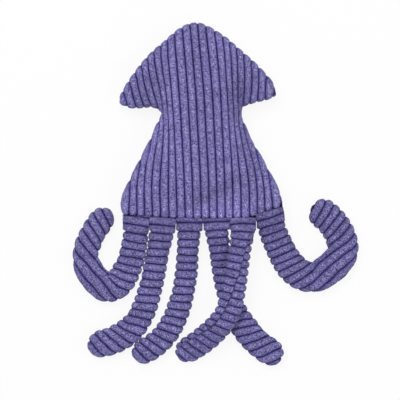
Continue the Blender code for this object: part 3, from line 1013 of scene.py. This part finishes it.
    def panel(self, side: Side, tree: BVHTree) -> Panel:
        """Lays one panel of corduroy over the form.

        Args:
            side: front or back.
            tree: the form's faces.

        Returns:
            The panel.
        """
        heights = self.heights(tree, side)
        phases = self.phases(heights)
        flat, off, faces = self.plan(phases)
        to_edge = flat[:, 1] - self.edge_rise(flat[:, 0])
        roll = self.bottom_roll + (self.roll - self.bottom_roll) * ease(to_edge / self.roll_length)
        edge = np.sqrt(roll ** 2 - (roll - np.clip(off, 0, roll)) ** 2)
        # Towards the seam the height passes from the form's to the edge's own roll, with no kink between.
        full = heights.read(flat) - self.cloth.depth * self.sunk_share
        full = np.clip(full * (1 - np.exp(-off / self.edge_fade)), 0, None)
        height = (full ** self.join_power + edge ** self.join_power) ** (1 / self.join_power)
        z = SEAM_Z + side.value * (height + self.lid_gap)
        skin = np.column_stack([flat, z])
        faces, normals = self.faced(side, skin, np.array(faces), off <= TINY)
        phase = phases.read(flat) + (0 if side is Side.FRONT else self.back_shift)
        up_the_roll = roll * np.arccos(1 - np.clip(off / roll, 0, 1)) + np.clip(off - roll, 0, None)
        profile = self.cloth.profile(phase, self.squareness)
        rise = self.cloth.rise(profile, up_the_roll, skin)
        skin = skin + normals * rise[:, None]
        over = ease((height + rise) / self.lip_height) * (1 - ease(to_edge / self.lip_length))
        between = (1 - profile) * self.rib_end * (1 - ease(to_edge / self.rib_end_length))
        skin[:, 1] += between - over * self.lip_reach
        skin[:, 2] = np.maximum(skin[:, 2], self.rest_gap)
        lid = list(range(len(self.base.points)))
        made = faces.tolist() + [lid if side is Side.BACK else lid[::-1]]
        nap = self.cloth.nap(phase, Seed.MANTLE_NAP)
        if side is Side.FRONT:
            self.brush(nap, flat)
        # Painted shade along the bottom edge: the wale falls to 0 there, so the ramp paints the groove's dark
        # colour under the lip.
        wale = self.cloth.from_groove(phase) * ease(to_edge / self.cloth.seam_shade)
        return Panel(f"mantle_{side.label}_cloth", skin, made, wale, nap)

    def faced(self, side: Side, skin: np.ndarray, faces: np.ndarray, on_rim: np.ndarray) -> tuple:
        """Turns a skin's faces outwards and finds which way is out at each point.

        Args:
            side: front or back.
            skin: its points.
            faces: its triangles, all turned the same way.
            on_rim: tells the points on the rim, where out is straight up or down.

        Returns:
            The triangles and a direction of length 1 for each point.
        """
        square = np.cross(skin[faces[:, 1]] - skin[faces[:, 0]], skin[faces[:, 2]] - skin[faces[:, 0]])
        normals = np.zeros_like(skin)
        for k in range(3):
            np.add.at(normals, faces[:, k], square)
        normals *= np.sign(normals[:, 2:]) * side.value
        normals[on_rim] = (0, 0, side.value)
        if np.sign(square[:, 2].sum()) != side.value:
            faces = faces[:, ::-1]
        return faces, normals / np.linalg.norm(normals, axis=1)[:, None]

    def brush(self, nap: np.ndarray, flat: np.ndarray) -> None:
        """Lightens or darkens the patches where the pile lies another way.

        Args:
            nap: how light the pile lies at each point, which it changes.
            flat: the points in plan.
        """
        for middle, turn, reach, gain in self.brushed:
            run = np.array((math.cos(math.radians(turn)), math.sin(math.radians(turn))))
            off = flat - np.array(middle) * MM
            along = off @ run / (reach[0] * MM)
            across = off @ np.array((-run[1], run[0])) / (reach[1] * MM)
            nap += gain * np.exp(-along ** 2 - across ** 2)

    def build(self, material: bpy.types.Material) -> None:
        """Makes both panels, which ride on the mantle's body.

        Args:
            material: the cloth.
        """
        tree = self.form()
        for side in Side:
            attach(self.panel(side, tree).dress(material, self.fill, "mantle", side), "mantle")

    def sew(self, material: bpy.types.Material) -> None:
        """Sews the rim's seam, by machine but for the gap that was closed by hand.

        Args:
            material: the thread.
        """
        low, high = (np.array(corner[:2]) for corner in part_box("closing_thread"))
        path = self.base.points - self.base.inward() * self.thread_out
        by_hand = ((path > low - MM) & (path < high + MM)).all(axis=1)
        start = int(np.flatnonzero(by_hand & ~np.roll(by_hand, 1))[0])
        path, by_hand = np.roll(path, -start, axis=0), np.roll(by_hand, -start)
        path = np.column_stack([path, np.full(len(path), SEAM_Z)])
        hand_sewn = Seam(pitch=4.6 * MM, length=3.9 * MM, thickness=0.6 * MM, slant=28.0)
        closing = hand_sewn.sew("closing_stitches", path[by_hand], material)
        machine = Seam().sew("mantle_seam_stitches", path[~by_hand], material)
        for row, node in ((closing, "closing_thread"), (machine, "mantle_seam_thread")):
            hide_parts(node)
            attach(row, "mantle")


@dataclass(frozen=True)
class ArmCut:
    """How one arm is cut and how it lies.

    The route is its middle line from its root, in shares of the arms' reach. The tables are read by the share
    of the way from root to tip: the width in shares of the arms' width, and the ribs' lean from the X axis
    and the arm's twist in degrees. The first groove and the back's shift are in ribs. The lift of the root
    and the room that the root has to either side are in mm.
    """

    route_shares: tuple
    width_shares: tuple
    lean_shares: tuple
    rib_share: float = 1.0
    first_groove: float = 0.25
    back_shift: float = 0.0
    twist_shares: tuple = ((0, 0), (1, 0))
    lies_over: bool = False
    root_lift: float = 0.0
    shade: float = 1.0
    room: float = 13.2
    parting_share: float = 1.0


LONG_WIDTH_SHARES = (
    (0, 1.0), (0.1, 0.96), (0.21, 0.87), (0.45, 0.88), (0.6, 0.94), (0.75, 1.0), (1, 1.06),
)
ARM_CUTS = (
    ArmCut(
        ((-0.006, -0.129), (-0.018, -0.211), (-0.04, -0.289), (-0.071, -0.359), (-0.109, -0.424),
         (-0.17, -0.455), (-0.232, -0.43), (-0.283, -0.378), (-0.316, -0.304), (-0.326, -0.235),
         (-0.306, -0.161), (-0.261, -0.076), (-0.211, -0.006), (-0.183, 0.029)),
        ((0, 1.03), (0.12, 1.04), (0.25, 1.05), (0.38, 1.18), (0.5, 1.23), (0.62, 1.16), (0.72, 1.03),
         (1, 1.05)),
        ((0, -10), (0.25, -11), (0.36, -15), (0.41, -22), (0.44, -46), (0.55, -47), (0.7, -56), (1, -66)),
        rib_share=1.01,
        first_groove=-0.09,
        root_lift=1.2,
        parting_share=0.5,
    ),
    ArmCut(
        ((-0.014, -0.117), (-0.035, -0.229), (-0.051, -0.311), (-0.067, -0.392), (-0.087, -0.473),
         (-0.111, -0.556), (-0.153, -0.643), (-0.207, -0.713), (-0.292, -0.773), (-0.38, -0.8),
         (-0.462, -0.816)),
        ((0, 1.0), (0.1, 1.0), (0.23, 0.91), (0.45, 0.92), (0.6, 1.02), (0.75, 1.13), (1, 1.13)),
        ((0, -5), (0.5, -5), (0.65, -12), (0.8, -30), (1, -47)),
        first_groove=0.05,
    ),
    ArmCut(
        ((-0.005, -0.111), (-0.014, -0.223), (-0.018, -0.304), (-0.026, -0.386), (-0.041, -0.467),
         (-0.062, -0.548), (-0.09, -0.63), (-0.13, -0.704), (-0.183, -0.772), (-0.252, -0.824),
         (-0.348, -0.869)),
        LONG_WIDTH_SHARES,
        ((0, 0), (0.5, -3), (0.7, -13), (0.85, -30), (1, -46)),
        first_groove=0.37,
    ),
    ArmCut(
        ((0.007, -0.108), (0.023, -0.214), (0.039, -0.314), (0.057, -0.414), (0.084, -0.508),
         (0.122, -0.598), (0.178, -0.694), (0.242, -0.769), (0.311, -0.829), (0.402, -0.886)),
        ((0, 1.0), (0.1, 0.94), (0.2, 0.86), (0.45, 0.87), (0.6, 0.98), (0.75, 1.1), (1, 1.12)),
        ((0, 3), (0.5, 3), (0.65, 7), (0.8, 13), (1, 20)),
        rib_share=0.965,
        first_groove=0.5,
    ),
    ArmCut(
        ((-0.004, -0.103), (-0.02, -0.203), (-0.035, -0.297), (-0.049, -0.391), (-0.067, -0.503),
         (-0.103, -0.603), (-0.166, -0.69), (-0.246, -0.768), (-0.322, -0.823), (-0.408, -0.866)),
        ((0, 1.0), (0.1, 0.94), (0.2, 0.86), (0.45, 0.89), (0.6, 0.97), (0.75, 1.0), (1, 1.03)),
        ((0, 3), (0.1, 0), (0.18, -11), (0.5, -14), (0.7, -21), (0.85, -30), (1, -35)),
        rib_share=0.962,
        first_groove=0.13,
        back_shift=0.5,
        twist_shares=(
            (0, 0), (0.1, 0), (0.19, 52), (0.32, 67), (0.42, 90), (0.51, 107), (0.6, 114), (0.7, 120),
            (0.8, 134), (1, 150),
        ),
        lies_over=True,
    ),
    ArmCut(
        ((0.0125, -0.084), (0.036, -0.157), (0.066, -0.217), (0.099, -0.278), (0.138, -0.338),
         (0.197, -0.394), (0.284, -0.409), (0.378, -0.3625), (0.441, -0.301), (0.469, -0.221),
         (0.452, -0.141), (0.41, -0.068), (0.356, -0.014), (0.28, 0.037)),
        ((0, 1.06), (0.2, 1.15), (0.38, 1.25), (0.5, 1.29), (0.66, 1.31), (0.8, 1.25), (1, 1.27)),
        ((0, 19), (0.2, 22), (0.35, 22), (0.44, 27), (0.49, 41), (0.7, 44), (0.85, 54), (1, 64)),
        rib_share=0.96,
        first_groove=0.4,
        root_lift=3.2,
        shade=0.93,
        room=14.0,
        parting_share=0.5,
    ),
)


@dataclass
class Arm:
    """One stuffed arm, sewn into the bottom seam at its root.

    It rises from the seam as a wedge and then sinks to the table or crosses over its neighbour and falls.
    The lying, rise and fall shares say where, as shares of the way to its tip. The form is a coarse grid of
    sections, and the cloth a fine grid on it, whose columns run around the arm.
    """

    number: int
    cut: ArmCut
    cloth: Corduroy
    stuffing: Stuffing
    fill: float = 0.7
    reach: float = 160 * MM
    route_parts: int = 6
    route_rounds: int = 12
    run_step: float = 2 * MM
    slope_step: float = 1.75 * MM
    width: float = 25.4 * MM
    thickness: float = 19 * MM
    flattening: float = 0.12
    root_spread: float = 0.5 * MM
    squareness: float = 2.6
    root_length: float = 22 * MM
    root_in: float = 4 * MM
    root_out: float = 1.6 * MM
    root_hold: float = 7 * MM
    root_fade: float = 7 * MM
    rise_fade: float = 4 * MM
    room_ends: tuple = (8 * MM, 14 * MM)
    pile_shade: float = 0.9
    root_shade: float = 0.16
    shade_length: float = 32 * MM
    wedge: float = math.radians(48.5)
    wedge_start: float = 0.3 * MM
    cell: float = 4.5 * MM
    around: int = 16
    cap_rows: int = 5
    cap_turn: float = math.radians(86)
    held_rows: int = 2
    slack: float = 0.4 * MM
    cap: float = 1.6 * MM
    crossing_gap: float = 1.2 * MM
    rest_cut: float = 0.5 * MM
    lying_share: float = 0.34
    rise_share: float = 0.42
    fall_shares: tuple = (0.6, 0.97)
    bunching_share: float = 0.85
    fine: float = 0.55 * MM
    fine_around: int = 52
    column_step: float = 0.3
    wander: float = 0.08
    wander_size: float = 13 * MM
    lid_gap: float = 0.12 * MM
    rest_gap: float = 0.15 * MM
    thread_out: float = 0.25 * MM
    tip_out: float = 0.2 * MM
    root_aim: float = 3 * MM
    bend_start: float = -1 * MM
    bend_end: float = 4 * MM

    def __post_init__(self) -> None:
        """Lays the middle line from the arm's joint in the frame."""
        self.name = f"arm_{self.number + 1}"
        joint = frame["joints"][self.number]
        self.root = np.array(joint["pos_m"][:2])
        start = np.array((-joint["axis"][1], joint["axis"][0]))
        route = self.root + np.vstack([(0, 0), self.cut.route_shares]) * self.reach
        lead = route[1] - start * 2 * np.linalg.norm(route[1] - route[0])
        parts = self.route_parts
        line = spread(np.vstack([lead, route]), np.arange(1, len(route) + TINY, 1 / parts))
        for _ in range(self.route_rounds):
            line[parts:-1] = (line[parts - 1:-2] + 2 * line[parts:-1] + line[parts + 1:]) / 4
        self.line = line
        self.stops = lengths_along(line)
        self.length = self.stops[-1]
        self.lift = self.cut.root_lift * MM

    def spot(self, along: np.ndarray) -> tuple:
        """Reads the middle line.

        Args:
            along: lengths along the arm; the line runs on straight before the root.

        Returns:
            The line's places in plan and its directions there.
        """
        step = self.run_step
        inner = np.clip(along, step, self.length - step)
        before, at, after = (
            read_line(stop, self.stops, self.line) for stop in (inner - step, along, inner + step)
        )
        run = (after - before) / np.linalg.norm(after - before, axis=1)[:, None]
        return at + run * np.minimum(along, 0)[:, None], run

    def half_thickness(self, width_share: np.ndarray) -> np.ndarray:
        """Half of the arm's thickness, which is less where it is wide."""
        return self.thickness / 2 * (1 - self.flattening * (width_share - 1))

    def height(self, along: np.ndarray) -> np.ndarray:
        """How high the middle line lies over the table.

        Args:
            along: lengths along the arm.

        Returns:
            The height at each.
        """
        low = self.half_thickness(self.cut.width_shares[-1][1]) - self.rest_cut
        share = along / self.length
        if not self.cut.lies_over:
            return SEAM_Z + (low - SEAM_Z) * ease(share / self.lying_share)
        over = low + self.thickness + self.crossing_gap
        start, end = self.fall_shares
        rise = SEAM_Z + (over - SEAM_Z) * ease(share / self.rise_share)
        return np.where(share < start, rise, over + (low - over) * ease((share - start) / (end - start)))

    def sections(self, along: np.ndarray, shrink: np.ndarray, angles: np.ndarray, taken: float) -> np.ndarray:
        """Points of the skin. It also keeps their angles in the world and the front's direction, for panels.

        Args:
            along: each section's distance from the root.
            shrink: how much the tip rounds each section.
            angles: places around the section, from the right seam over the front.
            taken: how much smaller than the frame's arm it is, all round.

        Returns:
            An array of sections by angles by three.
        """
        share = along / self.length
        spot, run = self.spot(along)
        step = self.slope_step
        slope = (self.height(along + step) - self.height(along - step)) / (2 * step)
        right = np.column_stack([-run[:, 1], run[:, 0], np.zeros(len(run))])
        ahead = np.column_stack([run, slope])
        ahead /= np.linalg.norm(ahead, axis=1)[:, None]
        up = np.cross(ahead, right)
        spread_out = from_table(self.cut.width_shares, share)
        full = self.half_thickness(spread_out) - taken
        opening = np.maximum(along + self.root_out + self.lift, 0) * math.tan(self.wedge) + self.wedge_start
        tall = full * (1 - np.exp(-opening / full)) * shrink
        turn = np.radians(from_table(self.cut.twist_shares, share))
        # On the inside of a bend the cloth bunches, so it reaches no further than the bend's own middle.
        reach = self.width / 4
        before, after = self.spot(along - reach)[1], self.spot(along + reach)[1]
        bend = before[:, 0] * after[:, 1] - before[:, 1] * after[:, 0]
        world = angles + turn[:, None]
        hand = np.where(np.cos(world) < 0, -1, 1)
        inner = 2 * reach / np.maximum(bend[:, None] * hand, 1e-6) * self.bunching_share
        half = spread_out * self.width / 2 + self.root_spread * (1 - ease(along / self.root_length))
        narrowing = ease((along - self.root_hold) / self.root_fade)
        wide = np.minimum(half[:, None], inner) - taken * narrowing[:, None]
        wide = wide * shrink[:, None]
        middle = np.column_stack([spot, self.height(along)])
        self.world = world
        self.front = up * np.cos(turn)[:, None] - right * np.sin(turn)[:, None]
        return (
            middle[:, None]
            + right[:, None] * (wide * np.cos(world))[:, :, None]
            + up[:, None] * (tall[:, None] * np.sin(world))[:, :, None]
        )

    def rows(self, step: float, cap_rows: int) -> tuple:
        """Places the sections, the last of them round the tip.

        Args:
            step: how far apart they are along the arm.
            cap_rows: how many lie on the round tip.

        Returns:
            Their distances from the root and how much the tip shrinks each.
        """
        cap = self.width / 2
        straight = self.length - cap
        start = -self.root_in - self.lift
        along = np.linspace(start, straight, round((straight - start) / step) + 1)
        turn = np.linspace(0, math.pi / 2, cap_rows + 1)[1:]
        turn[-1] = self.cap_turn
        shrink = np.concatenate([np.ones(len(along)), np.cos(turn)])
        return np.concatenate([along, straight + cap * np.sin(turn)]), shrink

    def stuffed(self) -> tuple:
        """Makes the arm's form and swells it.

        Returns:
            Its sections as a coarse grid of points, and their distances from the root.
        """
        along, shrink = self.rows(self.cell, self.cap_rows)
        angles = np.arange(self.around) * 2 * math.pi / self.around
        taken = self.cloth.depth - self.cloth.crest
        grid = self.sections(along, shrink, angles, taken + self.slack)
        rows = len(along)
        points = grid.reshape(-1, 3)
        form = mesh_piece(f"{self.name}_form", points, tube_faces(rows, self.around))
        held = list(range(self.held_rows * self.around))
        swollen = self.stuffing.swell(form, self.cap, held).reshape(grid.shape)
        bpy.data.objects.remove(form)
        return swollen, along

    def panels(self, side: Side, swollen: np.ndarray, coarse: np.ndarray) -> list:
        """Lays one strip of corduroy over the arm's form.

        Args:
            side: front or back.
            swollen: the form's sections.
            coarse: their distances along the arm.

        Returns:
            The strip as one panel, or parted in two on a curled arm.
        """
        rows = np.arange(0, len(coarse) - 1 + TINY, self.fine / self.cell)
        columns = np.linspace(0, self.around / 2, self.fine_around + 1)
        if side is Side.BACK:
            columns = columns + self.around / 2
        wrap = 2
        looped = np.concatenate([swollen[:, -wrap:], swollen, swollen[:, :2 * wrap]], axis=1)
        around_first = np.swapaxes(spread(looped, rows), 0, 1)
        before, skin, after = (
            np.swapaxes(spread(around_first, columns + wrap + off), 0, 1)
            for off in (-self.column_step, 0, self.column_step)
        )
        along = spread(coarse, rows)
        angles = columns * 2 * math.pi / self.around
        self.sections(along, np.ones(len(along)), angles, 0)
        normals = np.cross(np.gradient(skin, axis=0), after - before)
        outward = skin - swollen.mean(axis=1)[np.clip(rows.round().astype(int), 0, len(coarse) - 1)][:, None]
        normals *= np.sign((normals * outward).sum(axis=(1, 2)))[:, None, None]
        normals /= np.maximum(np.linalg.norm(normals, axis=2), 1e-12)[:, :, None]
        gaps = np.linalg.norm(np.diff(skin, axis=1), axis=2)
        walked = np.hstack([np.zeros((len(rows), 1)), np.cumsum(gaps, axis=1)])
        half_girth = walked[:, -1:]
        from_seam = np.minimum(walked, half_girth - walked)
        phase = self.phase(side, skin, along, half_girth)
        flat = skin.reshape(-1, 3)
        spot, run = self.spot(along)
        right = np.column_stack([-run[:, 1], run[:, 0]])
        middle, aside, down, front = (
            np.repeat(values, len(columns), axis=0) for values in (spot, right, along, self.front)
        )
        rise = self.cloth.rise(self.cloth.profile(phase, self.squareness), from_seam.ravel(), flat)
        rise *= ease((down + self.root_out + self.lift) / self.rise_fade)
        made = flat + normals.reshape(-1, 3) * rise[:, None]
        off = ((made[:, :2] - middle) * aside).sum(axis=1)
        low, high = self.room_ends
        room = self.cut.room * MM
        crowded = (np.clip(off, -room, room) - off) * (1 - ease((down - low) / (high - low)))
        made[:, :2] += aside * crowded[:, None]
        made += front * side.value * self.lid_gap
        made[:, 2] = np.maximum(made[:, 2], self.rest_gap)
        # Painted shade along the root's seam: the wale falls to 0 there, so the ramp paints the groove's dark
        # colour.
        wale = self.cloth.from_groove(phase) * ease((down + self.lift) / self.cloth.seam_shade)
        # Painted shadow of the mantle's lip: the pile is darker near the root, fading out over shade_length.
        root_shade = 1 - self.root_shade * (1 - ease(down / self.shade_length))
        shade = self.cut.shade * self.pile_shade * root_shade
        nap = shade * self.cloth.nap(phase, Seed.ARM_NAP + self.number)
        last = len(along) - 1
        parting = self.parting(along)
        lengths = {"cloth": (0, parting)}
        if parting < last:
            lengths["curl"] = (parting, last)
        return [
            self.closed(f"{self.name}_{side.label}_{kind}", made, wale, nap, length, len(columns))
            for kind, length in lengths.items()
        ]

    def phase(self, side: Side, skin: np.ndarray, along: np.ndarray, half_girth: np.ndarray) -> np.ndarray:
        """Counts the ribs along the arm, where it crosses them, and sideways by the cloth's length around it.

        Args:
            side: front or back.
            skin: the form's sections of points, as the last call of sections placed them.
            along: their distances along the arm.
            half_girth: each section's length from seam to seam.

        Returns:
            The count at each point; a groove lies at each whole number.
        """
        lean = np.radians(from_table(self.cut.lean_shares, along / self.length))
        across_ribs = np.column_stack([np.sin(lean), -np.cos(lean)])
        spot, run = self.spot(along)
        right = np.column_stack([-run[:, 1], run[:, 0]])
        pitch = self.cloth.pitch * self.cut.rib_share
        pace = (run * across_ribs).sum(axis=1) / pitch
        steps = (pace[1:] + pace[:-1]) / 2 * np.diff(along)
        counted = np.concatenate([[0], np.cumsum(steps)]) + pace[0] * along[0]
        world = (self.world + math.pi) % (2 * math.pi) - math.pi
        sideways = half_girth / 2 * (1 - 2 * np.abs(world) / math.pi)
        skew = (right * across_ribs).sum(axis=1) / pitch
        ahead = ((skin[:, :, :2] - spot[:, None]) * run[:, None]).sum(axis=2)
        phase = counted[:, None] + pace[:, None] * ahead + skew[:, None] * sideways + self.cut.first_groove
        phase += self.cut.back_shift if side is Side.BACK else 0
        wander = lumps(skin.reshape(-1, 3), self.wander_size, Seed.ARM_RIBS + self.number)
        return phase.ravel() + self.wander * wander

    def parting(self, along: np.ndarray) -> int:
        """The row at which a curled arm's cloth is parted, or the last row of an arm that doesn't curl.

        A curled tip lies beside its root, so it is a piece of its own, which rides on the arm's body.

        Args:
            along: the rows' distances from the root.

        Returns:
            The row's number.
        """
        return min(int(np.searchsorted(along, self.cut.parting_share * self.length)), len(along) - 1)

    def closed(
        self, name: str, points: np.ndarray, wale: np.ndarray, nap: np.ndarray, rows: tuple, columns: int,
    ) -> Panel:
        """Closes a strip of cloth, or a length of it, with the stuffing's face behind it.

        Args:
            name: the piece's name.
            points: the whole strip's grid of points.
            wale: how far each point is from a groove; 0 along the seam, for painted shade.
            nap: how light the pile lies at each point, with the painted shadow at the root.
            rows: the first and the last row of the length.
            columns: the grid's columns, around the arm.

        Returns:
            The panel.
        """
        first, final = rows
        taken = slice(first * columns, (final + 1) * columns)
        faces = tube_faces(final - first + 1, columns)
        panel = Panel(name, points[taken], faces, wale[taken], nap[taken])
        # A flat shaded end keeps the cloth's own shading up to the parting, so that the parting doesn't show.
        whole = len(points) // columns - 1
        for end, parted in ((-2, first > 0), (-1, final < whole)):
            panel.thing.data.polygons[len(faces) + end].use_smooth = not parted
        return panel

    def sew(self, swollen: np.ndarray, along: np.ndarray, thread: bpy.types.Material) -> list:
        """Sews the seam down one side of the arm, round its tip and up the other side.

        Args:
            swollen: the form's sections.
            along: their distances along the arm.
            thread: the thread.

        Returns:
            The seam as one row of stitches, or on a curled arm as its right, left and curled rows.
        """
        middle = swollen.mean(axis=1)[:, None]
        edges = swollen[:, [0, self.around // 2]]
        away = (edges - middle) / np.maximum(np.linalg.norm(edges - middle, axis=2), MM)[:, :, None]
        edges = (edges + away * self.thread_out)[:-1]
        path = np.vstack([edges[:, 0], middle[-1] + self.tip_out * self.end_direction(), edges[::-1, 1]])
        parting = self.parting(along)
        runs = {"seam": path}
        if parting < len(along) - 1:
            runs = {
                "right": path[:parting + 1],
                "left": path[-parting - 1:],
                "curl": path[parting:len(path) - parting],
            }
        rows = [Seam().sew(f"{self.name}_{part}_stitches", run, thread) for part, run in runs.items()]
        for row in rows:
            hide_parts(f"{self.name}_seam_thread")
        return rows

    def end_direction(self) -> np.ndarray:
        """The direction that the tip points in."""
        return np.append(self.spot(np.array([self.length]))[1][0], 0)

    def build(self, material: bpy.types.Material, thread: bpy.types.Material) -> None:
        """Makes both panels and their seam. A curled length rides on the arm's body; the rest is left
        unattached.

        Args:
            material: the cloth.
            thread: the thread.
        """
        swollen, along = self.stuffed()
        down = self.spot(np.array([self.root_aim]))[1][0]
        start, end = ((*(self.root + down * far), SEAM_Z) for far in (self.bend_start, self.bend_end))
        pieces = self.sew(swollen, along, thread)
        for side in Side:
            panels = self.panels(side, swollen, along)
            pieces += [panel.dress(material, self.fill, self.name, side) for panel in panels]
        for piece in pieces:
            if "_curl" in piece.name:
                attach(piece, self.name)
            else:
                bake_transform(piece)
                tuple(start)
                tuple(end)


def seen_white(tree: bpy.types.NodeTree) -> bpy.types.NodeSocket:
    """Tells the rays that see the ground as white from the rays that light the squid.

    Args:
        tree: the floor's or the world's node tree.

    Returns:
        1 for a ray from the camera, a mirror or glass, and 0 for the rest.
    """
    path = add_node(tree, "LightPath").outputs
    seen = path["Is Camera Ray"]
    for kind in ("Is Glossy Ray", "Is Transmission Ray"):
        seen = add_node(tree, "Math", {0: seen, 1: path[kind]}, operation="MAXIMUM").outputs[0]
    return seen


@dataclass
class Studio:
    """A white floor, soft lamps and a camera straight above, as the photograph was taken.

    Each row of lamps is a name, a place, a side and a power in watts.
    """

    lamps: tuple = (("top_lamp", (-0.3, 0.45, 1.6), 0.9, 17), ("side_lamp", (0.9, -0.3, 1.2), 1.0, 4))
    lamps_aim: tuple = (0, -0.06, 0)
    view_width: float = 400 * MM
    picture: int = 400
    origin_px: tuple = (203, 137.6)
    camera_height: float = 1.6
    sensor: float = 36.0
    floor_half: float = 1.5
    floor_glow: float = 0.88
    world_strength: float = 0.42

    def floor(self) -> None:
        """Makes the floor: white to the camera, with what is left of the squid's soft shadow."""
        bpy.ops.mesh.primitive_plane_add(size=2 * self.floor_half, location=(0, 0, 0))
        plane = bpy.context.object
        plane.name = "floor"
        # Matte paper lit to white, so that only a little of the squid's shadow is seen on it.
        made = bpy.data.materials.new("white_paper")
        made.use_nodes = True
        tree = made.node_tree
        tree.nodes.clear()
        share = add_node(tree, "Math", {
            0: seen_white(tree), 1: self.floor_glow,
        }, operation="MULTIPLY").outputs[0]
        paper = add_node(tree, "BsdfDiffuse", {"Color": linear("f4f4f4")}).outputs[0]
        glow = add_node(tree, "Emission", {"Color": linear("ffffff"), "Strength": 1.0}).outputs[0]
        mixed = add_node(tree, "MixShader", {0: share, 1: paper, 2: glow}).outputs[0]
        add_node(tree, "OutputMaterial", {"Surface": mixed})
        plane.data.materials.append(made)

    def lamp(self, name: str, place: tuple, size: float, power: float) -> None:
        """Hangs a square soft lamp that faces the squid.

        Args:
            name: the lamp's name.
            place: where it hangs.
            size: its side.
            power: in watts.
        """
        light = bpy.data.lights.new(name, "AREA")
        light.size = size
        light.energy = power
        thing = bpy.data.objects.new(name, light)
        thing.location = place
        thing.rotation_mode = "QUATERNION"
        thing.rotation_quaternion = (Vector(self.lamps_aim) - Vector(place)).to_track_quat("-Z", "Y")
        bpy.context.scene.collection.objects.link(thing)

    def build(self) -> None:
        """Sets up the floor, lamps, world and camera."""
        scene = bpy.context.scene
        scene.view_settings.view_transform = "Standard"
        self.floor()
        for lamp in self.lamps:
            self.lamp(*lamp)
        world = bpy.data.worlds.new("studio")
        world.use_nodes = True
        tree = world.node_tree
        white = add_node(tree, "MapRange", {"Value": seen_white(tree), "To Min": self.world_strength})
        set_inputs(tree.nodes["Background"], {"Color": linear("ffffff"), "Strength": white.outputs[0]})
        scene.world = world
        camera = bpy.data.cameras.new("camera")
        camera.sensor_width = self.sensor
        camera.lens = self.sensor * (self.camera_height - SEAM_Z) / self.view_width
        thing = bpy.data.objects.new("camera", camera)
        middle = self.picture / 2
        scale = self.view_width / self.picture
        x = (middle - self.origin_px[0]) * scale
        y = (self.origin_px[1] - middle) * scale
        thing.location = (x, y, self.camera_height)
        scene.collection.objects.link(thing)
        scene.camera = thing


def main() -> None:
    """Builds the squid's pieces in order, then the studio."""
    logging.basicConfig(level=logging.INFO, format="%(message)s")
    cloth = Corduroy()
    pile = cloth.material()
    thread = SewingThread().material()
    stuffing = Stuffing()
    mantle = Mantle(cloth, stuffing)
    mantle.build(pile)
    for number, cut in enumerate(ARM_CUTS):
        Arm(number, cut, cloth, stuffing).build(pile, thread)
    mantle.sew(thread)
    Studio().build()


if __name__ == "__main__":
    main()
